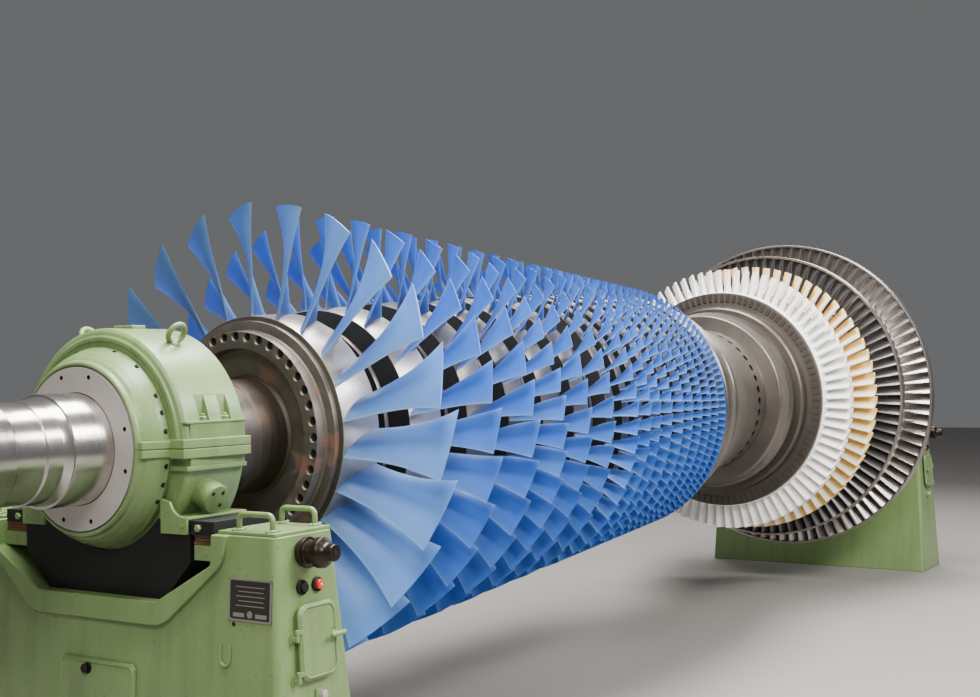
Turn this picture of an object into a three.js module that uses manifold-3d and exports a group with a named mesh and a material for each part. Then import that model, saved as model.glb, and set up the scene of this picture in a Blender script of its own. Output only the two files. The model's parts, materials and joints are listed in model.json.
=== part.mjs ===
// Rotor of a heavy-duty gas turbine, lying in the two bearing pedestals of a balancing machine.
// Millimetres, +Z up. X runs along the rotor from the compressor inlet to the exhaust end,
// -Y is the operator's side, and the origin is on the floor under the middle of the rotor.

import * as THREE from 'three';
import { mergeVertices } from 'three/addons/utils/BufferGeometryUtils.js';
import Module from 'manifold-3d';

const wasm = await Module();
wasm.setup();

// Driving dimensions of the whole assembly
const AXIS_HEIGHT = 1650;
const ROTOR_LENGTH = 10260;
const INLET_END = -ROTOR_LENGTH / 2;
const EXHAUST_END = ROTOR_LENGTH / 2;
const FACE_GAP = 0.3;
const JOURNAL_RADIUS = 231;
const JOURNAL_GAP = 0.25;
const ROUND = 40;
const DISC_SIDES = 32;
const SMALL_SIDES = 12;
const FULL_TURN = Math.PI * 2;

// Compressor: sixteen discs on a drum that grows towards the combustor, each with a platform for its blades
const FLANGE = {
  boltFace: -3398, dish: -3335, rear: -3300, dishRadius: 405, boltInner: 414, boltOuter: 495,
  rimInner: 503, radius: 546,
};
const PLATFORM_FRONTS = [
  -3300, -2848, -2418, -2078, -1767, -1459, -1115, -930, -785, -600, -405, -240, -75, 85, 235, 380,
];
const PLATFORM_REARS = [
  -3060, -2620, -2215, -1907, -1604, -1305, -1029, -862, -690, -500, -320, -155, 5, 160, 310, 513,
];
const DRUM_REAR = PLATFORM_REARS.at(-1);
const DRUM_START = -3200;
const DRUM_LENGTH = 3575;
const DRUM_RADIUS_FRONT = 570;
const DRUM_RADIUS_REAR = 776;
const TIP_RADIUS_FRONT = 1107;
const TIP_RADIUS_REAR = 849;
const SPACER_DEPTH = 26;
const FIRST_BLADES = { count: 22, angle: Math.PI * 0.915, rootShift: 26, tipShift: 7, depth: 12 };
const FIRST_ROOT = { axial: 164, sweep: -143, thickness: 34 };
const FIRST_TIP = { axial: 162, sweep: -291, thickness: 9 };
const FRONT_TEETH = 20;
const REAR_TEETH = 16;
const LAST_FRONT_ROW = 6;
const TOOTH_SWEEP = 0.4;

// Turbine: four rows, each with its root and tip place along X
const TURBINE_FRONT = 2100;
const TURBINE_ROWS = [
  { rear: 2440, root: 2325, rootWidth: 150, hub: 880, tip: 1066, tipShift: 30, teeth: 32 },
  { rear: 2930, root: 2820, rootWidth: 180, hub: 895, tip: 1112, tipShift: 12, teeth: 32 },
  { rear: 3400, root: 3200, rootWidth: 180, hub: 905, tip: 1226, shroudFront: 3145, blades: 12 },
  { rear: 3780, root: 3622, rootWidth: 200, hub: 878, tip: 1350, shroudFront: 3577, blades: 12 },
];
const SPACER_RADIUS = 760;
const SHROUD_WIDTH = 90;
const SHROUD_THICKNESS = 16;
const TOOTH_TURN = 0.03;
const TURBINE_ROOT = { into: 15, share: 0.8, sweep: -50, thickness: 45 };
const TURBINE_TIP = { into: 6, share: 0.7, sweep: -110, thickness: 14 };

// Bearing pedestals: tapered castings with a notch for the bearing housing
const NEAR_CENTRE = -4010;
const FAR_CENTRE = 4624;
const TOWER_TOP = 1320;
const BASE_HALF_DEPTH = 275;
const TOP_FRONT = -199;
const TOP_REAR = 140;
const TOP_HALF_WIDTH = 976;
const BASE_HALF_WIDTH = 1035;
const SIDE_LEAN = Math.atan((BASE_HALF_WIDTH - TOP_HALF_WIDTH) / TOWER_TOP);
const FACE_LEAN = Math.atan((BASE_HALF_DEPTH + TOP_FRONT) / TOWER_TOP);
const NOTCH = [[660, TOWER_TOP], [660, 1200], [569, 1151], [360, 1037]];
const NOTCH_RIM = [[740, TOWER_TOP], [722, 1204], [398, 941]];
const RIM_PROUD = 12;
const SPLIT_Y = NOTCH.at(-1)[0];

// Bearing housing, in millimetres from the pedestal's centre along X
const HOUSING_FRONT = -323;
const HOUSING_REAR = 163;
const HOUSING_RADIUS = 500;
const BODY_RADIUS = 488;
const RING_RADIUS = 420;
const PLATE_RADIUS = 340;
const PLATE_SEAT = -301;

const PAINT_GREEN = { color: 0x7e8f68, roughness: 0.45, metalness: 0.1 };
const PAINT_BLUE = { color: 0x5f8fd0, roughness: 0.4, metalness: 0.3 };
const POLISHED = { color: 0xc9c8c6, roughness: 0.2, metalness: 0.95 };
const DARK_STEEL = { color: 0x80776f, roughness: 0.45, metalness: 0.85 };
const TUBE_STEEL = { color: 0xa8a19a, roughness: 0.4, metalness: 0.85 };
const COATED_WHITE = { color: 0xe6e3df, roughness: 0.6, metalness: 0.1 };
const COATED_GOLD = { color: 0xd9c08a, roughness: 0.6, metalness: 0.1 };
const BLADE_DARK = { color: 0x4d5668, roughness: 0.35, metalness: 0.9 };
const BLADE_BRIGHT = { color: 0xa8a29b, roughness: 0.3, metalness: 0.9 };
const BLACK = { color: 0x151515, roughness: 0.6, metalness: 0.2 };
const RED = { color: 0xb0261c, roughness: 0.35, metalness: 0.0 };
const PLATE_GREY = { color: 0x6a625c, roughness: 0.5, metalness: 0.5 };

const object = new THREE.Group();

// Solids

const MERGE_DISTANCE = 1e-3;

function toSolid(geometry) {
  const bare = geometry.index ? geometry.toNonIndexed() : geometry.clone();
  bare.deleteAttribute('normal');
  bare.deleteAttribute('uv');
  const merged = mergeVertices(bare, MERGE_DISTANCE);
  const corners = merged.index.array;
  const kept = [];
  for (let i = 0; i < corners.length; i += 3) {
    const [a, b, c] = [corners[i], corners[i + 1], corners[i + 2]];
    if (a !== b && b !== c && c !== a) {
      kept.push(a, b, c);
    }
  }
  return new wasm.Manifold(new wasm.Mesh({
    numProp: 3,
    vertProperties: new Float32Array(merged.attributes.position.array),
    triVerts: new Uint32Array(kept),
  }));
}

function toGeometry(solid) {
  const mesh = solid.getMesh();
  const geometry = new THREE.BufferGeometry();
  geometry.setAttribute('position', new THREE.BufferAttribute(new Float32Array(mesh.vertProperties), 3));
  geometry.setIndex(new THREE.BufferAttribute(new Uint32Array(mesh.triVerts), 1));
  geometry.computeVertexNormals();
  return geometry;
}

function join(...solids) {
  return solids.reduce((whole, piece) => whole.add(piece));
}

// A body of revolution about X from [x, radius] points, which run from front to rear
function turned(profile, sides = DISC_SIDES) {
  const points = profile.map(([x, radius]) => new THREE.Vector2(radius, x));
  const geometry = new THREE.LatheGeometry(points, sides);
  geometry.rotateZ(-Math.PI / 2);
  return toSolid(geometry);
}

// A body of revolution whose profile closes on itself, such as a ring
function ring(x0, x1, inner, outer, sides = DISC_SIDES) {
  return turned([[x0, inner], [x0, outer], [x1, outer], [x1, inner], [x0, inner]], sides);
}

// A flat outline of [y, z] points, extruded along X from x0 to x1
function prism(outline, x0, x1) {
  const shape = new THREE.Shape(outline.map(([y, z]) => new THREE.Vector2(y, z)));
  const geometry = new THREE.ExtrudeGeometry(shape, { depth: x1 - x0, bevelEnabled: false });
  const turn = new THREE.Matrix4().makeBasis(
    new THREE.Vector3(0, 1, 0), new THREE.Vector3(0, 0, 1), new THREE.Vector3(1, 0, 0));
  geometry.applyMatrix4(turn);
  geometry.translate(x0, 0, 0);
  return toSolid(geometry);
}

function box(x0, x1, y0, y1, z0, z1) {
  const geometry = new THREE.BoxGeometry(x1 - x0, y1 - y0, z1 - z0);
  geometry.translate((x0 + x1) / 2, (y0 + y1) / 2, (z0 + z1) / 2);
  return toSolid(geometry);
}

// A six-sided block from two rings of four corners, the first ring below the second
function block(lower, upper) {
  const corners = [...lower, ...upper];
  const faces = [
    [0, 3, 2, 1], [4, 5, 6, 7], [0, 1, 5, 4], [1, 2, 6, 5], [2, 3, 7, 6], [3, 0, 4, 7],
  ];
  const positions = [];
  for (const [a, b, c, d] of faces) {
    for (const corner of [a, b, c, a, c, d]) {
      positions.push(...corners[corner]);
    }
  }
  const geometry = new THREE.BufferGeometry();
  geometry.setAttribute('position', new THREE.Float32BufferAttribute(positions, 3));
  return toSolid(geometry);
}

// A round stub along +Z of its own frame, from z0 to z1
function stub(radius, z0, z1, sides = 16) {
  const geometry = new THREE.CylinderGeometry(radius, radius, z1 - z0, sides);
  geometry.rotateX(Math.PI / 2);
  geometry.translate(0, 0, (z0 + z1) / 2);
  return toSolid(geometry);
}

function moved(solid, matrix) {
  const geometry = toGeometry(solid);
  geometry.applyMatrix4(matrix);
  return toSolid(geometry);
}

function addPiece(name, solid, look, parent = object) {
  const mesh = new THREE.Mesh(toGeometry(solid), new THREE.MeshStandardMaterial(look));
  mesh.name = name;
  parent.add(mesh);
  return mesh;
}

// Rotor

const rotor = new THREE.Group();
rotor.position.z = AXIS_HEIGHT;
object.add(rotor);

function drumShare(x) {
  return Math.min(Math.max((x - DRUM_START) / DRUM_LENGTH, 0), 1);
}

// The drum's radius rises fast at the inlet and levels out at the rear
function drumRadius(x) {
  const left = 1 - drumShare(x);
  return DRUM_RADIUS_FRONT + (DRUM_RADIUS_REAR - DRUM_RADIUS_FRONT) * (1 - left * left);
}

function tipRadius(x) {
  return TIP_RADIUS_FRONT + (TIP_RADIUS_REAR - TIP_RADIUS_FRONT) * drumShare(x);
}

// Four corners of a blade section: chord along X and round the rotor, and a thickness across it
function bladeSection(x, radius, angle, axialChord, sweep, thickness) {
  const chord = Math.hypot(axialChord, sweep);
  const along = [axialChord / chord, sweep / chord];
  const corners = [[-1, 1], [1, 1], [1, -1], [-1, -1]];
  return corners.map(([side, face]) => {
    const axial = (along[0] * side * chord - along[1] * face * thickness) / 2;
    const tangential = (along[1] * side * chord + along[0] * face * thickness) / 2;
    const turn = angle + tangential / radius;
    return [x + axial, radius * Math.cos(turn), radius * Math.sin(turn)];
  });
}

function bladeRing(count, firstAngle, root, tip) {
  const blades = [];
  for (let i = 0; i < count; i++) {
    const angle = firstAngle - (i * FULL_TURN) / count;
    const lower = bladeSection(root.x, root.radius, angle, root.axial, root.sweep, root.thickness);
    const upper = bladeSection(tip.x, tip.radius, angle, tip.axial, tip.sweep, tip.thickness);
    blades.push(block(lower, upper));
  }
  return join(...blades);
}

// A ring of pointed teeth, its rear outline turned against its front one
function toothedRing(x0, x1, hub, tip, teeth, sweep, tipShift = 0) {
  const front = [];
  const rear = [];
  for (let i = 0; i < teeth * 2; i++) {
    const angle = (i * Math.PI) / teeth;
    const onTip = i % 2 === 1;
    const radius = onTip ? tip : hub;
    const shift = onTip ? tipShift : 0;
    front.push([x0 + shift, radius * Math.cos(angle), radius * Math.sin(angle)]);
    const behind = angle - sweep;
    rear.push([x1, radius * Math.cos(behind), radius * Math.sin(behind)]);
  }
  const positions = [];
  const centreFront = [x0, 0, 0];
  const centreRear = [x1, 0, 0];
  for (let i = 0; i < front.length; i++) {
    const next = (i + 1) % front.length;
    positions.push(...centreFront, ...front[next], ...front[i]);
    positions.push(...centreRear, ...rear[i], ...rear[next]);
    positions.push(...front[i], ...front[next], ...rear[next]);
    positions.push(...front[i], ...rear[next], ...rear[i]);
  }
  const geometry = new THREE.BufferGeometry();
  geometry.setAttribute('position', new THREE.Float32BufferAttribute(positions, 3));
  return toSolid(geometry);
}

// Shaft radii: coupling flange, seal land, its bare end, the hub shoulder and its foot on the flange
const SHAFT = { coupling: 300, couplingWidth: 80, collar: 223, land: 203, collarEnd: -4786, landEnd: -4523 };
const HUB = { front: -3825, step: -3520, radius: 262, rear: 270, foot: 288, footStart: -3345 };

function frontStubShaft() {
  const end = FLANGE.dish - FACE_GAP;
  return turned([
    [INLET_END, 0], [INLET_END, SHAFT.coupling], [INLET_END + SHAFT.couplingWidth, SHAFT.coupling],
    [INLET_END + SHAFT.couplingWidth, SHAFT.collar], [SHAFT.collarEnd, SHAFT.collar],
    [SHAFT.collarEnd, SHAFT.land], [SHAFT.landEnd, SHAFT.land], [SHAFT.landEnd, JOURNAL_RADIUS],
    [HUB.front, JOURNAL_RADIUS],
    [HUB.front, HUB.radius], [HUB.step, HUB.radius], [HUB.step, HUB.rear], [HUB.footStart, HUB.rear],
    [end, HUB.foot], [end, 0],
  ], ROUND);
}

function frontFlange() {
  const rear = FLANGE.rear - FACE_GAP;
  return turned([
    [FLANGE.dish, 0], [FLANGE.dish, FLANGE.dishRadius], [FLANGE.boltFace, FLANGE.boltInner],
    [FLANGE.boltFace, FLANGE.boltOuter], [FLANGE.dish, FLANGE.rimInner], [FLANGE.dish, FLANGE.radius],
    [rear, FLANGE.radius], [rear, 0],
  ]);
}

function firstRowBlades() {
  const middle = (PLATFORM_FRONTS[0] + PLATFORM_REARS[0]) / 2;
  const { count, angle, rootShift, tipShift, depth } = FIRST_BLADES;
  const root = { x: middle - rootShift / 2, radius: drumRadius(middle) - depth, ...FIRST_ROOT };
  const tip = { x: middle - tipShift, radius: tipRadius(middle), ...FIRST_TIP };
  return bladeRing(count, angle, root, tip);
}

function compressorRow(row) {
  const front = PLATFORM_FRONTS[row];
  const rear = PLATFORM_REARS[row];
  const next = row + 1 < PLATFORM_FRONTS.length ? PLATFORM_FRONTS[row + 1] : DRUM_REAR;
  const end = next - FACE_GAP;
  if (row === 0) {
    const disc = turned([[front, 0], [front, drumRadius(front)], [end, drumRadius(end)], [end, 0]]);
    return join(disc, firstRowBlades());
  }
  const count = row > LAST_FRONT_ROW ? REAR_TEETH : FRONT_TEETH;
  const low = (x) => drumRadius(x) - SPACER_DEPTH;
  const spacer = turned([[front, 0], [front, low(front)], [end, low(end)], [end, 0]], count);
  const sweep = TOOTH_SWEEP * (rear - front) / drumRadius(rear);
  const teethRear = Math.min(rear, end);
  return join(spacer, toothedRing(front, teethRear, drumRadius(front), tipRadius(front), count, sweep));
}

// The torque tube: a rim behind the last blades, a groove, a waist that narrows, and the turbine's flange
const TUBE_RIM = [[DRUM_REAR, 765], [DRUM_REAR + 270, 735]];
const TUBE_GROOVE = [[DRUM_REAR + 284, 640], [1025, 640]];
const TUBE_WAIST = [[1040, 657], [1300, 612], [1674, 562], [1836, 556]];
const TUBE_FLANGE = [[1836, 672], [1860, 678], [TURBINE_FRONT - FACE_GAP, 700]];

function torqueTube() {
  return turned([
    [DRUM_REAR, 0], ...TUBE_RIM, ...TUBE_GROOVE, ...TUBE_WAIST, ...TUBE_FLANGE, [TURBINE_FRONT - FACE_GAP, 0],
  ]);
}

function turbineRow(index) {
  const row = TURBINE_ROWS[index];
  const x0 = index === 0 ? TURBINE_FRONT : TURBINE_ROWS[index - 1].rear;
  const x1 = row.rear - FACE_GAP;
  const half = row.rootWidth / 2;
  const spacer = turned([[x0, 0], [x0, SPACER_RADIUS], [x1, SPACER_RADIUS], [x1, 0]]);
  const [front, rear] = [row.root - half, row.root + half];
  if (row.teeth) {
    return join(spacer, toothedRing(front, rear, row.hub, row.tip, row.teeth, TOOTH_TURN, row.tipShift));
  }
  const rim = ring(front, rear, SPACER_RADIUS / 2, row.hub);
  const tipX = row.shroudFront + SHROUD_WIDTH / 2;
  const inner = row.tip - SHROUD_THICKNESS;
  const rootRadius = row.hub - TURBINE_ROOT.into;
  const outerRadius = inner + TURBINE_TIP.into;
  const root = { ...TURBINE_ROOT, x: row.root, radius: rootRadius, axial: row.rootWidth * TURBINE_ROOT.share };
  const tip = { ...TURBINE_TIP, x: tipX, radius: outerRadius, axial: SHROUD_WIDTH * TURBINE_TIP.share };
  const blades = bladeRing(row.blades, 0, root, tip);
  const shroud = ring(row.shroudFront, row.shroudFront + SHROUD_WIDTH, inner, row.tip);
  return join(spacer, rim, blades, shroud);
}

const REAR_SHAFT = {
  cone: 405, coneFront: 3900, coneRear: 4120, collar: 270, collarEnd: 4300, journalEnd: 4990,
};

function rearStubShaft() {
  const front = TURBINE_ROWS.at(-1).rear;
  const { cone, coneFront, coneRear, collar, collarEnd, journalEnd } = REAR_SHAFT;
  return turned([
    [front, 0], [front, cone], [coneFront, cone], [coneRear, collar], [collarEnd, collar],
    [collarEnd, JOURNAL_RADIUS], [journalEnd, JOURNAL_RADIUS], [journalEnd, SHAFT.land],
    [EXHAUST_END, SHAFT.land], [EXHAUST_END, 0],
  ], ROUND);
}

addPiece('front_stub_shaft', frontStubShaft(), POLISHED, rotor);
addPiece('front_flange', frontFlange(), DARK_STEEL, rotor);
PLATFORM_FRONTS.forEach((front, row) => {
  const number = String(row + 1).padStart(2, '0');
  addPiece(`compressor_row_${number}`, compressorRow(row), PAINT_BLUE, rotor);
});
addPiece('torque_tube', torqueTube(), TUBE_STEEL, rotor);
[COATED_WHITE, COATED_GOLD, BLADE_DARK, BLADE_BRIGHT].forEach((look, index) => {
  addPiece(`turbine_row_${index + 1}`, turbineRow(index), look, rotor);
});
addPiece('rear_stub_shaft', rearStubShaft(), POLISHED, rotor);

// Pedestals, each in its own frame: X from its centre, with the seal plate on the -X side

const mirrorOutline = (points) => points.map(([y, z]) => [-y, z]).reverse();
const HUGE = 3000;
const UNDER_FLOOR = -10;
const OVER_TOWER = 50;

function castingBody(grow) {
  const corners = (front, rear, y, z) => [[front, -y, z], [rear, -y, z], [rear, y, z], [front, y, z]];
  const base = corners(-BASE_HALF_DEPTH - grow, BASE_HALF_DEPTH + grow, BASE_HALF_WIDTH, 0);
  return block(base, corners(TOP_FRONT - grow, TOP_REAR + grow, TOP_HALF_WIDTH, TOWER_TOP));
}

function notchOutline(points, above) {
  const right = [[points[0][0], TOWER_TOP + above], ...points];
  return [...right, ...mirrorOutline(right)];
}

function casting() {
  const notch = prism(notchOutline(NOTCH, OVER_TOWER), -HUGE, HUGE);
  const band = prism(notchOutline(NOTCH_RIM, 0), -HUGE, 0);
  const rim = castingBody(RIM_PROUD).intersect(band);
  return join(castingBody(0), rim).subtract(notch);
}

// A frame on the sloping operator's side of the casting: x along it, and +Z of it pointing out
function sideFrame(x, z) {
  const y = -(TOP_HALF_WIDTH + (TOWER_TOP - z) * Math.tan(SIDE_LEAN));
  const turn = new THREE.Matrix4().makeRotationX(Math.PI / 2 - SIDE_LEAN);
  return new THREE.Matrix4().makeTranslation(x, y, z).multiply(turn);
}

// A frame on the sloping front face: y along it, and +Z of it pointing out to -X
function frontFrame(y, z) {
  const x = TOP_FRONT - (TOWER_TOP - z) * Math.tan(FACE_LEAN);
  const turn = new THREE.Matrix4().makeRotationY(-Math.PI / 2 + FACE_LEAN);
  return new THREE.Matrix4().makeTranslation(x, y, z).multiply(turn);
}

// The housing's feet stand on the black cradle's lugs, and those on packed blocks of the towers
const LUG = { low: 1308, high: 1364, reach: 640 };
const CRADLE_FRONT = -185;
const CRADLE_REAR = 150;
const CRADLE_WAIST = 505;
const CRADLE_FOOT = [355, NOTCH.at(-1)[1] + FACE_GAP];
const CRADLE_SHOULDER = [CRADLE_WAIST, 1195];
const POCKET_RADIUS = 516;
const WEB_REAR = -176;
const WEB_POCKET = 432;
const SUPPORT = { front: -175, rear: 140, inner: 517, low: 1205, high: 1267 };
const SHIM_FRONT = -168;
const SUPPORT_SHORT = 20;
const SHIM_CLEARANCE = 5;
const INTO_TOWER = 670;

function support(sign) {
  const side = ({ front, inner }, low, high) => {
    const [near, far] = [inner * sign, INTO_TOWER * sign].sort((a, b) => a - b);
    return box(front, SUPPORT.rear - SUPPORT_SHORT, near, far, low, high);
  };
  const shimInner = { front: SHIM_FRONT, inner: CRADLE_WAIST + SHIM_CLEARANCE };
  return join(side(SUPPORT, SUPPORT.low, SUPPORT.high + 1), side(shimInner, SUPPORT.high, LUG.low - FACE_GAP));
}

const BUTTON_PLACES = { black: -68, red: 21 };
const BUTTON_HEIGHT = 1116;
const BUTTON = { radius: 20.4, inner: 6, outer: 28 };
const BEZEL = { hole: 21, radius: 29, height: 14, root: 4 };

function bezel(x) {
  const hole = stub(BEZEL.hole, 0, BUTTON.outer, SMALL_SIDES);
  const collar = stub(BEZEL.radius, -BEZEL.root, BEZEL.height, SMALL_SIDES).subtract(hole);
  return moved(collar, sideFrame(x, BUTTON_HEIGHT));
}

const SPINDLE = { x: -45, z: 1248, radius: 62, boss: 12, bossRadius: 68, bossRoot: -5 };
const SPINDLE_STEPS = [[34, 62], [38, 46], [74, 46], [80, 60], [106, 60], [120, 42], [132, 34], [165, 34]];

function spindleBoss() {
  return moved(stub(SPINDLE.bossRadius, SPINDLE.bossRoot, SPINDLE.boss), sideFrame(SPINDLE.x, SPINDLE.z));
}

// The side door hangs on two lift-off hinges: the lower knuckles are on the casting
const DOOR = { left: -120, right: 96, bottom: 758, top: 1052, thickness: 18, standoff: 12, corner: 45 };
const HINGE = { x: -136, out: 28, radius: 9, heights: [780, 940], half: 24, pin: 6 };
const KNOB = { x: 74, z: 917, stem: 9, reach: 56, half: 44, bar: 8 };

function hingeFrame(z) {
  const face = sideFrame(HINGE.x, z);
  const upright = new THREE.Matrix4().makeRotationX(-Math.PI / 2);
  return face.multiply(new THREE.Matrix4().makeTranslation(0, 0, HINGE.out)).multiply(upright);
}

function lowerKnuckle(z) {
  const { radius, half, out, pin } = HINGE;
  const knuckle = stub(radius, -half, -FACE_GAP / 2, SMALL_SIDES);
  const arm = box(-pin, pin, 0, out + pin / 2, -half, -pin);
  return moved(join(knuckle, arm), hingeFrame(z));
}

function upperKnuckle(z) {
  const { radius, half, pin } = HINGE;
  const strap = box(0, DOOR.left - HINGE.x + DOOR.thickness, -pin, pin, pin, half - pin / 2);
  return moved(join(stub(radius, FACE_GAP / 2, half, SMALL_SIDES), strap), hingeFrame(z));
}

function doorSolid() {
  const { left, right, bottom, top, corner } = DOOR;
  const width = right - left;
  const height = top - bottom;
  const shape = new THREE.Shape();
  shape.moveTo(0, 0);
  shape.lineTo(width - corner, 0);
  shape.absarc(width - corner, corner, corner, -Math.PI / 2, 0, false);
  shape.absarc(width - corner, height - corner, corner, 0, Math.PI / 2, false);
  shape.lineTo(0, height);
  const leaf = new THREE.ExtrudeGeometry(shape, {
    depth: DOOR.thickness, bevelEnabled: false, curveSegments: 4,
  });
  leaf.translate(left, 0, DOOR.standoff);
  const placed = moved(toSolid(leaf), sideFrame(0, bottom));
  const stem = stub(KNOB.stem, DOOR.standoff + 2, KNOB.reach, SMALL_SIDES);
  const bar = box(-KNOB.half, KNOB.half, -KNOB.bar, KNOB.bar, KNOB.reach - KNOB.bar, KNOB.reach + KNOB.bar);
  const knob = moved(join(stem, bar), sideFrame(KNOB.x, KNOB.z));
  return join(placed, ...HINGE.heights.map(upperKnuckle), knob);
}

function towers() {
  const whole = casting();
  const right = whole.intersect(box(-HUGE, HUGE, -HUGE, -SPLIT_Y - FACE_GAP, UNDER_FLOOR, HUGE));
  const left = whole.intersect(box(-HUGE, HUGE, SPLIT_Y + FACE_GAP, HUGE, UNDER_FLOOR, HUGE));
  const sill = whole.intersect(box(-HUGE, HUGE, -SPLIT_Y, SPLIT_Y, UNDER_FLOOR, HUGE));
  const fittings = [
    support(-1), spindleBoss(), ...Object.values(BUTTON_PLACES).map(bezel), ...HINGE.heights.map(lowerKnuckle),
  ];
  return { left: join(left, support(1)), right: join(right, ...fittings), sill };
}

const HANDLE = { half: 99.5, height: 76, radius: 11.5, corner: 28, root: 4, places: [-150, 95], middle: 832 };
const TOP_PLATE = { thickness: 14, inner: 668, outer: 968, front: TOP_FRONT + 8, rear: TOP_REAR - 8 };

// A grab handle in its own frame: legs along +Z, the grip along Y
function handle() {
  const { corner, root, radius } = HANDLE;
  const path = new THREE.CurvePath();
  const leg = HANDLE.half - radius;
  const top = HANDLE.height - radius;
  const at = (y, z) => new THREE.Vector3(0, y, z);
  path.add(new THREE.LineCurve3(at(-leg, -root), at(-leg, top - corner)));
  path.add(new THREE.QuadraticBezierCurve3(at(-leg, top - corner), at(-leg, top), at(-leg + corner, top)));
  path.add(new THREE.LineCurve3(at(-leg + corner, top), at(leg - corner, top)));
  path.add(new THREE.QuadraticBezierCurve3(at(leg - corner, top), at(leg, top), at(leg, top - corner)));
  path.add(new THREE.LineCurve3(at(leg, top - corner), at(leg, -root)));
  const section = new THREE.Shape();
  section.absarc(0, 0, radius, 0, FULL_TURN, false);
  return toSolid(new THREE.ExtrudeGeometry(section, {
    steps: 13, extrudePath: path, bevelEnabled: false, curveSegments: 3,
  }));
}

function topPlate(sign) {
  const [near, far] = [TOP_PLATE.inner * sign, TOP_PLATE.outer * sign].sort((a, b) => a - b);
  const low = TOWER_TOP + FACE_GAP;
  const high = low + TOP_PLATE.thickness;
  const plate = box(TOP_PLATE.front, TOP_PLATE.rear, near, far, low, high);
  const place = (x) => new THREE.Matrix4().makeTranslation(x, HANDLE.middle * sign, high);
  return join(plate, ...HANDLE.places.map((x) => moved(handle(), place(x))));
}

function cradle() {
  const lug = [[LUG.reach, LUG.low], [LUG.reach, LUG.high], [POCKET_RADIUS * 0.8, LUG.high]];
  const lower = [CRADLE_FOOT, CRADLE_SHOULDER, [CRADLE_WAIST, LUG.low]];
  const outline = [...mirrorOutline(lug), ...mirrorOutline(lower), ...lower, ...lug];
  const beam = prism(outline, CRADLE_FRONT, CRADLE_REAR);
  const pocket = turned([
    [-HUGE, 0], [-HUGE, WEB_POCKET], [WEB_REAR, WEB_POCKET], [WEB_REAR, POCKET_RADIUS],
    [HUGE, POCKET_RADIUS], [HUGE, 0],
  ], ROUND);
  return beam.subtract(moved(pocket, new THREE.Matrix4().makeTranslation(0, 0, AXIS_HEIGHT)));
}

const BORE = (JOURNAL_RADIUS + JOURNAL_GAP) / Math.cos(Math.PI / ROUND);
// The housing's front: a rolled edge round the seal plate, then a slope up to the ring, and a shoulder
const FRONT_RING = [[HOUSING_FRONT, 348], [-312, 366], [-262, 396], [-200, RING_RADIUS]];
const CAP_SHOULDER = [[-192, RING_RADIUS], [-192, HOUSING_RADIUS - 12], [-180, HOUSING_RADIUS]];
const LOWER_SHOULDER = [[WEB_REAR + 4, RING_RADIUS], [WEB_REAR + 4, BODY_RADIUS]];

function housing(shoulder, bodyRadius) {
  return turned([
    [PLATE_SEAT, BORE], [PLATE_SEAT, PLATE_RADIUS + 1], [HOUSING_FRONT, PLATE_RADIUS + 1], ...FRONT_RING,
    ...shoulder, [HOUSING_REAR, bodyRadius], [HOUSING_REAR, BORE],
    [PLATE_SEAT, BORE],
  ], ROUND);
}

// Heights over the axis; reach is how far a ledge stands out from it
const SPLIT_FLANGE = { front: -210, rear: 145, reach: 535, above: 38, below: -40 };
const LEDGE = { front: -191, rear: 147, reach: 507, above: 109, below: -91 };
const LEDGE_CORE = 400;
const BOLT_POCKETS = { places: [-75, 50], half: 28, wall: 452, top: 300 };
const PAD = { front: -67, rear: 10, half: 60, root: 440, top: 513 };
const EYE = { x: -15, lean: Math.PI / 6, centre: 544, ring: 42, wire: 12, shank: 20, root: 468, weld: 3 };

// An eye bolt that stands square on the round cap, so it leans outwards
function liftingEye(sign) {
  const loop = new THREE.TorusGeometry(EYE.ring, EYE.wire, 5, SMALL_SIDES);
  loop.rotateX(Math.PI / 2);
  loop.translate(0, 0, EYE.centre);
  const shank = stub(EYE.shank, EYE.root, EYE.centre - EYE.ring + EYE.weld, 10);
  const leaning = moved(join(shank, toSolid(loop)), new THREE.Matrix4().makeRotationX(-EYE.lean * sign));
  return moved(leaning, new THREE.Matrix4().makeTranslation(EYE.x, 0, 0));
}

// A block on one side of the housing, from the core out to its reach
function ledge({ front, rear, reach }, sign, low, high) {
  const [near, far] = [LEDGE_CORE * sign, reach * sign].sort((a, b) => a - b);
  return box(front, rear, near, far, low, high);
}

function boltPocket(sign, x) {
  const { half, wall, top } = BOLT_POCKETS;
  const [near, far] = [wall * sign, HOUSING_RADIUS * 2 * sign].sort((a, b) => a - b);
  return box(x - half, x + half, near, far, LEDGE.above, top);
}

function bearingCap() {
  let cap = housing(CAP_SHOULDER, HOUSING_RADIUS).intersect(box(-HUGE, HUGE, -HUGE, HUGE, FACE_GAP / 2, HUGE));
  for (const sign of [-1, 1]) {
    const flange = ledge(SPLIT_FLANGE, sign, FACE_GAP / 2, SPLIT_FLANGE.above);
    cap = join(cap, flange, ledge(LEDGE, sign, FACE_GAP / 2, LEDGE.above));
    cap = BOLT_POCKETS.places.reduce((solid, x) => solid.subtract(boltPocket(sign, x)), cap);
  }
  const pad = box(PAD.front, PAD.rear, -PAD.half, PAD.half, PAD.root, PAD.top);
  return join(cap, pad, liftingEye(-1), liftingEye(1));
}

const FOOT = { front: -205, split: -190, rear: 140, inner: 360, outer: 507, high: 1377 };
const FOOT_CURVE = [[490, 1377], [462, 1383], [440, 1395], [424, 1413], [414, 1436], [FOOT.inner, 1450]];
const OIL_BOSS = { x: -45, radius: 64, root: 440, face: 562, down: Math.PI / 8 };

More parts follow.
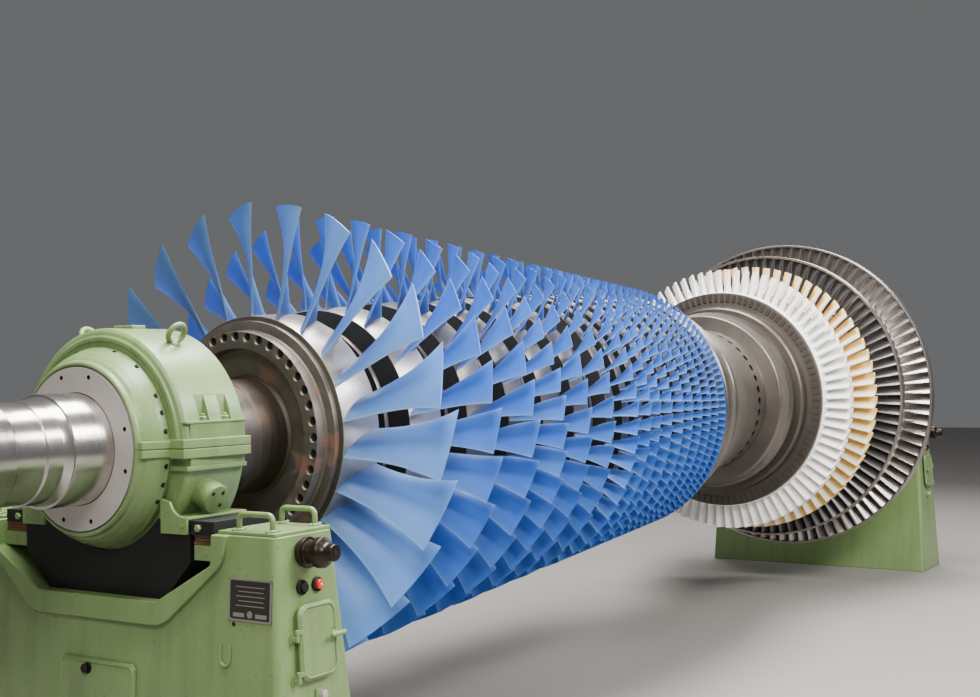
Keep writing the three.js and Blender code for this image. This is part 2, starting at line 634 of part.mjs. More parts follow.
// A foot: a lug in front of the cradle that curves up to the ring, and a strip along the top of the cradle's lug
function foot(sign) {
  const outline = [[FOOT.inner, LUG.low], [FOOT.outer, LUG.low], [FOOT.outer, FOOT.high], ...FOOT_CURVE];
  const lug = prism(sign < 0 ? mirrorOutline(outline) : outline, FOOT.front, FOOT.split);
  const [near, far] = [FOOT.inner * sign, FOOT.outer * sign].sort((a, b) => a - b);
  const strip = box(FOOT.split - 1, FOOT.rear, near, far, LUG.high + FACE_GAP, FOOT.high);
  return moved(join(lug, strip), new THREE.Matrix4().makeTranslation(0, 0, -AXIS_HEIGHT));
}

function bearingLower() {
  const half = housing(LOWER_SHOULDER, BODY_RADIUS).intersect(box(-HUGE, HUGE, -HUGE, HUGE, -HUGE, -FACE_GAP / 2));
  const parts = [-1, 1].flatMap((sign) => [
    ledge(SPLIT_FLANGE, sign, SPLIT_FLANGE.below, -FACE_GAP / 2),
    ledge(LEDGE, sign, LEDGE.below, -FACE_GAP / 2),
    foot(sign),
  ]);
  const aim = new THREE.Matrix4().makeRotationX(Math.PI / 2 + OIL_BOSS.down);
  const boss = moved(stub(OIL_BOSS.radius, OIL_BOSS.root, OIL_BOSS.face, 20), aim);
  return join(half, ...parts, moved(boss, new THREE.Matrix4().makeTranslation(OIL_BOSS.x, 0, 0)));
}

function sealPlate() {
  return ring(HOUSING_FRONT - 1, PLATE_SEAT - FACE_GAP, BORE, PLATE_RADIUS, ROUND);
}

function jackSpindle() {
  const foot = SPINDLE.boss + FACE_GAP;
  const end = SPINDLE_STEPS.at(-1)[0];
  const solid = turned([[foot, 0], [foot, SPINDLE.radius], ...SPINDLE_STEPS, [end, 0]], 16);
  const upright = new THREE.Matrix4().makeRotationY(-Math.PI / 2);
  return moved(moved(solid, upright), sideFrame(SPINDLE.x, SPINDLE.z));
}

function button(x) {
  return moved(stub(BUTTON.radius, BUTTON.inner, BUTTON.outer, SMALL_SIDES), sideFrame(x, BUTTON_HEIGHT));
}

const NAME_PLATE = { middle: -856, height: 1077, halfWidth: 112, halfHeight: 83, thickness: 6 };

function namePlate() {
  const { middle, height, halfWidth, halfHeight, thickness } = NAME_PLATE;
  const plate = box(-halfHeight, halfHeight, -halfWidth, halfWidth, FACE_GAP, thickness);
  return moved(plate, frontFrame(middle, height));
}

const HATCH = { middle: -12, half: 228, low: 330, high: 772, corner: 30, thickness: 16 };
const HATCH_KNOB = { y: 53, below: 40, radius: 22, root: 13, reach: 42 };

function hatchCover() {
  const { half, low, high, corner, thickness } = HATCH;
  const tall = (high - low) / 2;
  const shape = new THREE.Shape();
  shape.moveTo(-tall + corner, -half);
  shape.absarc(tall - corner, -half + corner, corner, -Math.PI / 2, 0, false);
  shape.absarc(tall - corner, half - corner, corner, 0, Math.PI / 2, false);
  shape.absarc(-tall + corner, half - corner, corner, Math.PI / 2, Math.PI, false);
  shape.absarc(-tall + corner, -half + corner, corner, Math.PI, Math.PI * 1.5, false);
  const cover = new THREE.ExtrudeGeometry(shape, { depth: thickness, bevelEnabled: false, curveSegments: 4 });
  cover.translate(0, 0, FACE_GAP);
  const stem = stub(HATCH_KNOB.radius, HATCH_KNOB.root, HATCH_KNOB.reach, SMALL_SIDES);
  const knob = moved(stem, new THREE.Matrix4().makeTranslation(tall - HATCH_KNOB.below, HATCH_KNOB.y, 0));
  return moved(join(toSolid(cover), knob), frontFrame(HATCH.middle, (low + high) / 2));
}

function mirrored(solid) {
  const geometry = toGeometry(solid);
  geometry.applyMatrix4(new THREE.Matrix4().makeScale(-1, 1, 1));
  const corners = geometry.index.array;
  for (let i = 0; i < corners.length; i += 3) {
    [corners[i], corners[i + 1]] = [corners[i + 1], corners[i]];
  }
  return toSolid(geometry);
}

function addPedestal(prefix, centre, flip) {
  const stand = new THREE.Group();
  stand.position.x = centre;
  object.add(stand);
  const bearing = new THREE.Group();
  bearing.position.z = AXIS_HEIGHT;
  stand.add(bearing);
  const put = (name, solid, look, parent = stand) => {
    addPiece(`${prefix}_${name}`, flip ? mirrored(solid) : solid, look, parent);
  };
  const { left, right, sill } = towers();
  put('left_tower', left, PAINT_GREEN);
  put('right_tower', right, PAINT_GREEN);
  put('sill', sill, PAINT_GREEN);
  put('left_top_plate', topPlate(1), PAINT_GREEN);
  put('right_top_plate', topPlate(-1), PAINT_GREEN);
  put('cradle', cradle(), BLACK);
  put('side_door', doorSolid(), PAINT_GREEN);
  put('hatch_cover', hatchCover(), PAINT_GREEN);
  put('name_plate', namePlate(), PLATE_GREY);
  put('jack_spindle', jackSpindle(), BLACK);
  put('black_button', button(BUTTON_PLACES.black), BLACK);
  put('red_button', button(BUTTON_PLACES.red), RED);
  put('bearing_lower', bearingLower(), PAINT_GREEN, bearing);
  put('bearing_cap', bearingCap(), PAINT_GREEN, bearing);
  put('seal_plate', sealPlate(), DARK_STEEL, bearing);
}

addPedestal('near', NEAR_CENTRE, false);
addPedestal('far', FAR_CENTRE, true);

export default object;
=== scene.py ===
# %% [markdown]
# # A gas turbine rotor in its balancing pedestals
#
# The real object is about ten metres of forged discs, bolted in a row. Sixteen rows of blue coated
# compressor blades stand at the inlet end and four rows of hot turbine blades at the exhaust end.
# A conical torque tube joins the two. The rotor lies in two green cast pedestals that let it spin.
#
# The frame gives every size. This notebook dresses it: round parts are turned on a lathe made of
# code, blades and bolts are laid out by Geometry Nodes, and every finish is a tree of shader nodes.

# %% Load the frame
import json
import math

import bmesh
import bpy
import numpy as np
from mathutils import Matrix, Vector

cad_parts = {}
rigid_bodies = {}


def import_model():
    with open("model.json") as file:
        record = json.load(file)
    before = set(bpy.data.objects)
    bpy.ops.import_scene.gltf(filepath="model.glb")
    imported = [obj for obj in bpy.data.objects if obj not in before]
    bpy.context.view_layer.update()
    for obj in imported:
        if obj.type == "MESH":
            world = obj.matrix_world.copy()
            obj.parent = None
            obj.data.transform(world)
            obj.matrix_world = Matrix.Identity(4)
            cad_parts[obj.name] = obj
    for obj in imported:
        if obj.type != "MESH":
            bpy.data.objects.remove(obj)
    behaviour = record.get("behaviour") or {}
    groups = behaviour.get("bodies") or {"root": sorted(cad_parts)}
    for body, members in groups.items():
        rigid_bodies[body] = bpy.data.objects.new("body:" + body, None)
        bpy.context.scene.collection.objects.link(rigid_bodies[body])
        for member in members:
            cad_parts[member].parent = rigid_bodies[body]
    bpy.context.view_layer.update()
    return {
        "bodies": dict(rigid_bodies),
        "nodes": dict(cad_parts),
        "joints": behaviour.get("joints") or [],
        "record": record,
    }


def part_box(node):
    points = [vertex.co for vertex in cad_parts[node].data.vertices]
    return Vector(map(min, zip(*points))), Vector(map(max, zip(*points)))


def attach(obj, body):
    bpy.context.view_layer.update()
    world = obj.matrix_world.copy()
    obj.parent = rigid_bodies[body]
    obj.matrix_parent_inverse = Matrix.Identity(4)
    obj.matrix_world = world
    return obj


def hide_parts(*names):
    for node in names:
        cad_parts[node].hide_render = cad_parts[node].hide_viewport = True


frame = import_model()

# %% [markdown]
# ## Where things are
#
# X runs along the rotor, the operator stands on the -Y side and Z is up. The shaft's own box gives
# the height of the axis, so nothing here has to repeat it. The camera stands low, in front of the
# inlet bearing, looking along the rotor.

# %% Driving places
SHAFT_LOW, SHAFT_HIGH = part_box("front_stub_shaft")
AXIS = (SHAFT_LOW.z + SHAFT_HIGH.z) / 2
INLET_END = SHAFT_LOW.x
EXHAUST_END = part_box("rear_stub_shaft")[1].x
FULL_TURN = 2 * math.pi
print("axis height", round(AXIS, 3), "rotor length", round(EXHAUST_END - INLET_END, 3))

# %% Camera
SENSOR = 36.0
LENS = 48.97
CAMERA_PLACE = Vector((-7.988, -4.449, 1.9535))
CAMERA_AIM = Vector((0.836, 0.549, 0.0))
CAMERA_TILT = math.radians(1.43)


def in_scene(name, data):
    """An object for a mesh, a lamp or a camera, linked to the scene."""
    made = bpy.data.objects.new(name, data)
    bpy.context.scene.collection.objects.link(made)
    return made


camera = in_scene("camera", bpy.data.cameras.new("camera"))
camera.data.sensor_width = SENSOR
camera.data.lens = LENS
camera.location = CAMERA_PLACE
level = CAMERA_AIM.to_track_quat("-Z", "Y").to_matrix()
camera.rotation_euler = (Matrix.Rotation(CAMERA_TILT, 3, "X") @ level).to_euler()
bpy.context.scene.camera = camera
print("camera looks along", [round(part, 3) for part in CAMERA_AIM])

# %% [markdown]
# ## Writing node trees as formulas
#
# A node tree is easiest to read as the formula that it stands for. One small class wraps a socket:
# adding or multiplying two of them adds a Math node and gives back its result. Every other node
# comes from one method that takes its type, its settings and what goes into its sockets. The same
# pair serves the shaders and the Geometry Nodes.

# %% Values and graphs


class Value:
    """An output socket whose arithmetic adds Math nodes to its tree."""

    def __init__(self, graph, socket):
        self.graph = graph
        self.socket = socket

    def maths(self, operation, *terms, clamp=False):
        node = self.graph.tree.nodes.new("ShaderNodeMath")
        node.operation = operation
        node.use_clamp = clamp
        for place, term in zip(node.inputs, terms):
            self.graph.feed(place, term)
        return Value(self.graph, node.outputs[0])

    def __add__(self, other):
        return self.maths("ADD", self, other)

    def __radd__(self, other):
        return self.maths("ADD", other, self)

    def __sub__(self, other):
        return self.maths("SUBTRACT", self, other)

    def __rsub__(self, other):
        return self.maths("SUBTRACT", other, self)

    def __mul__(self, other):
        return self.maths("MULTIPLY", self, other)

    def __rmul__(self, other):
        return self.maths("MULTIPLY", other, self)

    def __truediv__(self, other):
        return self.maths("DIVIDE", self, other)

    def __rtruediv__(self, other):
        return self.maths("DIVIDE", other, self)

    def __pow__(self, other):
        return self.maths("POWER", self, other)

    def __neg__(self):
        return self.maths("MULTIPLY", self, -1.0)

    def sine(self):
        return self.maths("SINE", self)

    def cosine(self):
        return self.maths("COSINE", self)

    def clamped(self):
        return self.maths("ADD", self, 0.0, clamp=True)

    def above(self, edge, softness):
        """0 below the edge and 1 above it, over a soft step."""
        return ((self - edge) / softness + 0.5).clamped()


class Graph:
    """A node tree that nodes are added to."""

    def __init__(self, tree):
        self.tree = tree

    def feed(self, place, term):
        if isinstance(term, Value):
            self.tree.links.new(term.socket, place)
        elif term is not None:
            place.default_value = term

    def node(self, kind, sockets=None, **settings):
        made = self.tree.nodes.new(kind)
        for name, setting in settings.items():
            setattr(made, name, setting)
        for name, term in (sockets or {}).items():
            self.feed(made.inputs[name], term)
        return made

    def value(self, kind, sockets=None, output=0, **settings):
        return Value(self, self.node(kind, sockets, **settings).outputs[output])


def linear(red, green, blue):
    """A colour named by its screen values from 0 to 255, as the shader's own light values."""
    parts = [part / 255 for part in (red, green, blue)]
    return (*[part / 12.92 if part <= 0.04045 else ((part + 0.055) / 1.055) ** 2.4 for part in parts], 1.0)


# %% [markdown]
# ## Floor and light
#
# The hall has skylights and high windows, so the light falls from above, broad and soft, and the
# blades' undersides stay dark. One wide lamp hangs over the rotor, and four more stand for the
# windows: two on the operator's side, one beyond the exhaust end and one behind the camera.

# %% Studio
FLOOR_HALF = 30.0
FLOOR_COLOUR = linear(138, 135, 131)
FLOOR_ROUGHNESS = 0.7
SKY_COLOUR = (0.94, 0.96, 1.0, 1.0)
SKY_STRENGTH = 0.15


def add_floor():
    mesh = bpy.data.meshes.new("studio_floor")
    corners = [(x * FLOOR_HALF, y * FLOOR_HALF, 0) for x, y in ((-1, -1), (1, -1), (1, 1), (-1, 1))]
    mesh.from_pydata(corners, [], [(0, 1, 2, 3)])
    paint = bpy.data.materials.new("pale_floor")
    paint.use_nodes = True
    principled = paint.node_tree.nodes["Principled BSDF"]
    principled.inputs["Base Color"].default_value = FLOOR_COLOUR
    principled.inputs["Roughness"].default_value = FLOOR_ROUGHNESS
    mesh.materials.append(paint)
    in_scene("studio_floor", mesh)


def add_lamp(name, place, aim, width, height, power, colour):
    light = bpy.data.lights.new(name, "AREA")
    light.shape = "RECTANGLE"
    light.size = width
    light.size_y = height
    light.energy = power
    light.color = colour
    lamp = in_scene(name, light)
    lamp.location = place
    lamp.rotation_euler = (Vector(aim) - Vector(place)).to_track_quat("-Z", "Y").to_euler()


def add_sky():
    world = bpy.data.worlds.new("hall_air")
    bpy.context.scene.world = world
    world.use_nodes = True
    background = world.node_tree.nodes["Background"]
    background.inputs["Color"].default_value = SKY_COLOUR
    background.inputs["Strength"].default_value = SKY_STRENGTH


add_floor()
add_lamp("skylight", (-1.8, -0.2, 8.0), (-1.2, 0.0, 1.2), 2.6, 9.0, 2100, (1.0, 0.98, 0.95))
add_lamp("side_window", (0.5, -6.5, 6.8), (-1.6, 0.0, 1.5), 7.0, 1.8, 820, (1.0, 0.99, 0.97))
add_lamp("turbine_window", (-2.4, -6.5, 5.6), (2.6, -0.4, 1.8), 3.0, 2.0, 420, (1.0, 0.98, 0.94))
add_lamp("far_window", (9.0, 1.5, 7.0), (0.0, 0.0, 1.6), 8.0, 3.0, 900, (1.0, 0.97, 0.93))
add_lamp("front_window", (-13.0, -7.0, 9.5), (-3.5, 0.0, 1.6), 5.0, 4.0, 1050, (1.0, 0.98, 0.95))
add_sky()
print("lamps:", len(bpy.data.lights))

# %% [markdown]
# ## Finishes
#
# Each finish starts from what the maker did to the surface. Turned steel has fine rings round its
# axis, so its pattern depends on X alone. A casting has a faint orange-peel under its enamel, and
# dirt that runs down it. The coating on the blades is a dull satin with a lighter, rubbed edge.
# Some colours are painted shade: the enamel darkens on faces that point down, the blue towards the
# blade roots, the turbine coats in the hollow of each blade, and a dull black fills grooves and holes.
# Only colour, roughness, metal and bump vary over a surface; the rest is set on the shader itself.

# %% Finish tools
NOISE_ROUGHNESS = 0.55


class Finish(Graph):
    """A material in the making: Object coordinates in, Principled shader out."""

    def __init__(self, name, **fixed):
        self.material = bpy.data.materials.new(name)
        self.material.use_nodes = True
        super().__init__(self.material.node_tree)
        self.shader = self.tree.nodes["Principled BSDF"]
        for socket, number in fixed.items():
            self.shader.inputs[socket.replace("_", " ")].default_value = number
        self.place = self.value("ShaderNodeTexCoord", output="Object")

    def noise(self, scale, detail=3.0, where=None):
        sockets = {"Vector": where or self.place, "Scale": scale, "Detail": detail}
        sockets["Roughness"] = NOISE_ROUGHNESS
        return self.value("ShaderNodeTexNoise", sockets, output="Fac")

    def stretched(self, x, y, z):
        """The coordinates scaled along each axis, for streaks and rings."""
        return self.value(
            "ShaderNodeVectorMath", {0: self.place, 1: (x, y, z)}, output="Vector", operation="MULTIPLY"
        )

    def blend(self, mask, low, high):
        """One colour where the mask is 0 and another where it is 1."""
        node = self.node("ShaderNodeMix", data_type="RGBA")
        self.feed(node.inputs["Factor"], mask)
        low_place, high_place = [socket for socket in node.inputs if socket.type == "RGBA"]
        self.feed(low_place, low)
        self.feed(high_place, high)
        return Value(self, next(socket for socket in node.outputs if socket.type == "RGBA"))

    def attribute(self, name):
        return self.value("ShaderNodeAttribute", attribute_name=name, output="Fac")

    def bump(self, height, depth):
        """Relief of a depth in metres."""
        sockets = {"Height": height, "Distance": depth, "Strength": 1.0}
        return self.value("ShaderNodeBump", sockets, output="Normal")

    def done(self, colour, roughness, metallic, normal):
        sockets = {"Base Color": colour, "Roughness": roughness, "Metallic": metallic, "Normal": normal}
        for name, term in sockets.items():
            self.feed(self.shader.inputs[name], term)
        return self.material


# %% Painted and coated finishes


def green_enamel():
    """Machine enamel on a casting: slightly uneven film, dirt runs, painted shade on faces that point down,
    small chips.
    """
    paint = Finish("green_enamel", Coat_Weight=0.35, Coat_Roughness=0.25)
    cloudy = paint.noise(1.6, 4.0)
    grain = paint.noise(38.0, 2.0)
    runs = paint.noise(9.0, 4.0, paint.stretched(1.0, 1.0, 0.12))
    colour = paint.blend(cloudy, linear(104, 134, 76), linear(136, 160, 104))
    # Painted shade: faces that point down are darkened, mixed with the dirt runs.
    under = paint.attribute("underside")
    dirt_runs_and_painted_shade = (runs.above(0.6, 0.25) * 0.3 + under * 0.6).clamped()
    colour = paint.blend(dirt_runs_and_painted_shade, colour, linear(66, 78, 46))
    specks = paint.noise(70.0, 1.0).above(0.735, 0.02)
    colour = paint.blend(specks * 0.6, colour, linear(66, 62, 50))
    peel = paint.bump(grain, 0.0012)
    return paint.done(colour, 0.32 + 0.2 * runs, 0.0, peel)


def blade_blue(name, deep, light):
    """Satin blue coating, cooler and lighter where the air has polished it, darker towards the root as
    painted shade.
    """
    paint = Finish(name, Coat_Weight=0.1, Coat_Roughness=0.35)
    cloudy = paint.noise(5.0, 3.0)
    grain = paint.noise(240.0, 2.0)
    each = paint.attribute("blade_shade")
    colour = paint.blend(cloudy, deep, light)
    colour = paint.blend(each * 0.35, colour, linear(92, 142, 216))
    # Painted shade: the coating darkens towards the blade's root.
    painted_root_shade = (1 - paint.attribute("blade_span")) ** 1.5
    colour = paint.blend(painted_root_shade * 0.75, colour, linear(12, 40, 104))
    rubbed = paint.attribute("blade_edge")
    colour = paint.blend((rubbed * 0.55).clamped(), colour, linear(150, 190, 232))
    return paint.done(colour, 0.36 + 0.16 * cloudy, 0.12, paint.bump(grain, 0.0002))


def ceramic(name, base, stain, amount, hollow):
    """A sprayed ceramic coat: matt, stained by the hot gas, with painted shade and reflection in the blade's
    hollow.
    """
    coat = Finish(name)
    cloudy = coat.noise(7.0, 5.0)
    spots = coat.noise(34.0, 3.0)
    mask = ((cloudy - 0.42) * 2.2 * amount + spots.above(0.66, 0.1) * 0.4).clamped()
    colour = coat.blend(mask, base, stain)
    # Painted shade: the rear of the chord, in the blade's hollow, takes the hollow colour as shade and warm
    # reflection.
    deep = coat.attribute("blade_chord").above(0.38, 0.3)
    colour = coat.blend(deep, colour, hollow)
    return coat.done(colour, 0.55 + 0.2 * cloudy, 0.0, coat.bump(coat.noise(150.0, 2.0), 0.0006))


# %% Steel finishes


def turned_steel(name, bright, dark, rough, ring_depth=0.0004, metallic=0.95, ring_scale=90.0):
    """Steel from the lathe: rings that follow X, and faint stains."""
    steel = Finish(name)
    rings = steel.noise(ring_scale, 2.0, steel.stretched(1.0, 0.01, 0.01))
    bands = steel.noise(5.0, 2.0, steel.stretched(1.0, 0.02, 0.02))
    stains = steel.noise(6.0, 4.0)
    colour = steel.blend((bands * 0.6 + stains * 0.4).clamped(), dark, bright)
    roughness = rough * (0.7 + 0.6 * rings)
    return steel.done(colour, roughness, metallic, steel.bump(rings, ring_depth))


def flange_steel():
    """The bolted flange: brown-grey machined face with patches of red rust."""
    steel = Finish("rusted_flange_steel")
    cloudy = steel.noise(6.0, 4.0)
    rust = steel.noise(5.2, 3.0).above(0.62, 0.08)
    fine = steel.noise(60.0, 3.0)
    colour = steel.blend(cloudy, linear(84, 78, 73), linear(134, 126, 118))
    colour = steel.blend((rust * (0.4 + 0.5 * fine)).clamped(), colour, linear(122, 68, 46))
    metal = 0.75 - 0.6 * rust
    return steel.done(colour, 0.38 + 0.25 * cloudy + 0.2 * rust, metal, steel.bump(fine, 0.0005))


def bronzed_hub():
    """The hub shoulder: old oil has browned it in streaks round the shaft."""
    steel = Finish("bronzed_hub_steel")
    rings = steel.noise(30.0, 4.0, steel.stretched(1.0, 0.08, 0.08))
    patches = steel.noise(14.0, 5.0, steel.stretched(1.0, 0.5, 0.5))
    colour = steel.blend(rings, linear(52, 46, 42), linear(134, 124, 114))
    colour = steel.blend(patches.above(0.6, 0.15) * 0.6, colour, linear(120, 84, 58))
    return steel.done(colour, 0.24 + 0.3 * patches, 0.9, steel.bump(rings, 0.0006))


def plain_black(name, colour, roughness, metallic=0.1):
    """Dull black: painted shade in grooves and holes, black screws, or blackened iron."""
    black = Finish(name)
    dust = black.noise(12.0, 4.0)
    shade = black.blend(dust, colour, tuple(min(1.0, part * 2.2) for part in colour[:3]) + (1.0,))
    return black.done(shade, roughness + 0.15 * dust, metallic, black.bump(black.noise(80.0, 2.0), 0.0008))


def rusty_steel():
    """Mill plate that has stood in damp air: orange rust, darker where oil has crept in."""
    steel = Finish("rusty_packing_steel")
    cloudy = steel.noise(11.0, 4.0)
    oil = steel.noise(6.0, 3.0).above(0.58, 0.12)
    colour = steel.blend(cloudy, linear(74, 50, 38), linear(138, 98, 74))
    colour = steel.blend(oil * 0.7, colour, linear(52, 36, 28))
    return steel.done(colour, 0.6 + 0.2 * cloudy, 0.1, steel.bump(steel.noise(60.0, 3.0), 0.0008))


def moulded_plastic(name, dark, bright):
    """A push button: moulded plastic, rubbed paler by thumbs."""
    plastic = Finish(name, Coat_Weight=0.3, Coat_Roughness=0.2)
    rubbed = plastic.noise(30.0, 3.0)
    colour = plastic.blend(rubbed, dark, bright)
    return plastic.done(colour, 0.28 + 0.2 * rubbed, 0.0, plastic.bump(plastic.noise(200.0, 2.0), 0.0002))


GREEN = green_enamel()
BLUE = blade_blue("blue_blade_coating", linear(34, 88, 196), linear(66, 124, 214))
# Painted light: a paler copy of the blue coating for the first row, which the light reaches most.
FIRST_ROW_LIT_BLUE = blade_blue("pale_blade_coating", linear(72, 128, 218), linear(118, 166, 232))
# The last colour of each coat is painted shade and reflection for the hollow of the blade.
WHITE = ceramic(
    "white_thermal_coating", linear(252, 251, 249), linear(214, 210, 204), 0.3, linear(240, 239, 240)
)
GOLD = ceramic(
    "gold_thermal_coating", linear(242, 236, 220), linear(232, 208, 156), 0.4, linear(255, 214, 120)
)
POLISHED = turned_steel("polished_journal_steel", linear(222, 219, 216), linear(138, 131, 126), 0.2, 0.0003)
PLATFORM = turned_steel("bright_disc_rim", linear(214, 206, 196), linear(150, 142, 134), 0.32, 0.0002, 0.85)
# A darker rim steel: on the rims behind the first two rows it is painted shade; it also colours the balance
# strips and the first disc's face.
DARK_RIM_STEEL_AND_PAINTED_SHADE = turned_steel("dull_disc_rim", linear(142, 136, 130), linear(78, 73, 69), 0.36, 0.0002, 0.85)
TUBE = turned_steel("tube_steel", linear(146, 138, 130), linear(54, 49, 44), 0.34, 0.0006, 0.85)
SEAL = turned_steel("seal_plate_steel", linear(216, 210, 206), linear(176, 168, 163), 0.46, 0.0002, 0.4)
BLADE_STEEL = turned_steel("dark_blade_steel", linear(122, 120, 120), linear(70, 68, 70), 0.36, 0.0001, 0.6)
LAST_STEEL = turned_steel("last_blade_steel", linear(206, 198, 192), linear(110, 102, 98), 0.28, 0.0001, 0.92)
DISC_STEEL = turned_steel("turbine_disc_steel", linear(128, 120, 113), linear(62, 56, 51), 0.42, 0.0004, 0.85)
FLANGE = flange_steel()
HUB = bronzed_hub()
# Painted shade: this black fills grooves and holes where shade falls, and it also colours the black screws
# and bolts.
SHADE_AND_SCREW_BLACK = plain_black("groove_black", linear(12, 11, 10), 0.7)
BLACK_IRON = plain_black("black_paint", linear(5, 5, 5), 0.6)
OILED_STEEL = turned_steel(
    "oiled_spindle_steel", linear(74, 62, 54), linear(10, 9, 8), 0.3, 0.0003, 0.75, 60.0
)
PLATE_GREY = turned_steel("etched_name_plate", linear(70, 66, 62), linear(52, 49, 46), 0.4, 0.0001, 0.5)
PLATE_BRIGHT = turned_steel(
    "bright_name_plate", linear(186, 180, 172), linear(132, 126, 120), 0.36, 0.0001, 0.6
)
RUSTY_STEEL = rusty_steel()
# Painted glow: a pale yellow lens that looks lit, though it gives out no light.
LENS_PAINTED_GLOW = moulded_plastic("lit_lens", linear(255, 232, 140), linear(255, 246, 196))
RED = moulded_plastic("red_button_plastic", linear(200, 40, 28), linear(226, 66, 46))
print("finishes:", len(bpy.data.materials))

# %% [markdown]
# ## The lathe
#
# A turned part is a profile of (x, radius) points swept once round the axis. Real edges are never
# knife sharp: the turner breaks them, and the small chamfer is what catches the light. So each
# corner of a profile is rounded before it is swept. Faces are then painted by where they lie.

# %% Lathe tools
LATHE_SIDES = 160
DISC_SIDES = 128
EDGE_BREAK = 0.003
CREASE_ANGLE = math.radians(32)
ROUND_ANGLE = math.radians(50)
TINY = 1e-6


def make_piece(name, vertices, faces, materials, smooth_angle=CREASE_ANGLE):
    mesh = bpy.data.meshes.new(name)
    mesh.from_pydata([tuple(map(float, vertex)) for vertex in vertices], [], faces)
    for material in materials:
        mesh.materials.append(material)
    mesh.update()
    mesh.shade_smooth()
    mesh.set_sharp_from_angle(angle=smooth_angle)
    return in_scene(name, mesh)


def is_closed(points):
    return (Vector(points[0]) - Vector(points[-1])).length < TINY


def softened(profile, size=EDGE_BREAK, steps=2):
    """The profile with a small round at each corner."""
    points = [Vector(point) for point in profile]
    closed = is_closed(points)
    ring = points[:-1] if closed else points
    made = []
    for place, corner in enumerate(ring):
        before = ring[place - 1]
        after = ring[(place + 1) % len(ring)]
        if not closed and place in (0, len(ring) - 1):
            made.append(corner)
            continue
        towards = before - corner
        onwards = after - corner
        reach = min(size, towards.length * 0.45, onwards.length * 0.45)
        start = corner + towards.normalized() * reach
        finish = corner + onwards.normalized() * reach
        for step in range(steps + 1):
            share = step / steps
            made.append(start.lerp(corner, share).lerp(corner.lerp(finish, share), share))
    if closed:
        made.append(made[0])
    return made


def lathe(name, profile, materials, sides=LATHE_SIDES, edge=EDGE_BREAK):
    """Sweeps a profile round the rotor's axis, from front to rear with its outside to the left."""
    points = softened(profile, edge)
    closed = is_closed(points)
    if closed:
        points = points[:-1]
    vertices = []
    rings = []
    for x, radius in points:
        if radius < TINY:
            rings.append([len(vertices)] * sides)
            vertices.append((x, 0.0, AXIS))
            continue
        rings.append(list(range(len(vertices), len(vertices) + sides)))
        for side in range(sides):
            angle = FULL_TURN * side / sides
            vertices.append((x, -radius * math.cos(angle), AXIS + radius * math.sin(angle)))
    pairs = list(zip(rings, rings[1:]))
    if closed:
        pairs.append((rings[-1], rings[0]))
    faces = []
    for front, rear in pairs:
        for side in range(sides):
            after = (side + 1) % sides
            corners = [front[side], rear[side], rear[after], front[after]]
            faces.append([corner for place, corner in enumerate(corners) if corner != corners[place - 1]])
    return make_piece(name, vertices, faces, materials)


def paint_faces(piece, slot, chosen):
    """Gives a material slot to the faces whose middle, as (x, radius), is chosen."""
    for face in piece.data.polygons:
        middle = face.center
        if chosen(middle.x, math.hypot(middle.y, middle.z - AXIS)):
            face.material_index = slot


def volume(piece):
    """The signed volume inside a closed mesh: it is positive when the faces point out."""
    shape = bmesh.new()
    shape.from_mesh(piece.data)
    inside = shape.calc_volume(signed=True)
    shape.free()
    return inside


def facing_out(piece):
    if volume(piece) < 0:
        piece.data.flip_normals()
    return piece


def shifted(piece, offset):
    piece.data.transform(Matrix.Translation(offset))
    return piece


def settle(piece):
    """Runs a piece's modifiers and keeps the result as its plain mesh."""
    depsgraph = bpy.context.evaluated_depsgraph_get()
    made = bpy.data.meshes.new_from_object(piece.evaluated_get(depsgraph))
    piece.modifiers.clear()
    piece.data = made
    return piece


def on_rotor(piece, slot, *nodes):
    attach(piece, "rotor")
    if nodes:
        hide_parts(*nodes)
    return piece


# %% [markdown]
# ## Inlet shaft
#
# A stub shaft carries the rotor in its bearing. From the left: a coupling flange, a seal land, the
# ground journal that runs in the bearing and the shoulder that meets the first disc. It could be a
# stack of cylinders, but one swept profile keeps every fillet and gives one clean mesh.

# %% Inlet shaft
JOURNAL = 0.231
SEAL_LAND = 0.203
HUB_START = -3.83

inlet_shaft = lathe(
    "inlet_shaft",
    [
        (INLET_END, 0.0), (INLET_END, 0.060), (INLET_END + 0.02, 0.066), (INLET_END + 0.02, 0.120),
        (INLET_END, 0.130), (INLET_END, 0.300), (INLET_END + 0.08, 0.300), (INLET_END + 0.08, 0.223),
        (-4.786, 0.223), (-4.776, SEAL_LAND), (-4.640, SEAL_LAND), (-4.634, 0.209), (-4.560, 0.209),
        (-4.523, 0.222), (-4.523, JOURNAL), (-3.825, JOURNAL), (-3.825, 0.262), (-3.520, 0.262),
        (-3.516, 0.270), (-3.400, 0.270), (-3.345, 0.272), (-3.338, 0.290), (-3.338, 0.0),
    ],
    [POLISHED, HUB],
)
paint_faces(inlet_shaft, 1, lambda x, radius: x > HUB_START)
on_rotor(inlet_shaft, "polished_steel", "front_stub_shaft")
print("inlet shaft volume", round(volume(inlet_shaft), 3), "m3")

# %% [markdown]
# ## Front flange
#
# The inlet shaft is bolted to the disc stack through a stepped flange. Its raised face carries forty
# bolts in counterbored holes, and a wide dish is cut into its middle to save weight. The holes are
# cut with a ring of cutters: Geometry Nodes repeats one cutter round the axis, and a Boolean takes
# the ring away. The same small tree later repeats bolts, air holes and blade locks.

# %% The ring tree
FACE_GAP = 0.0003


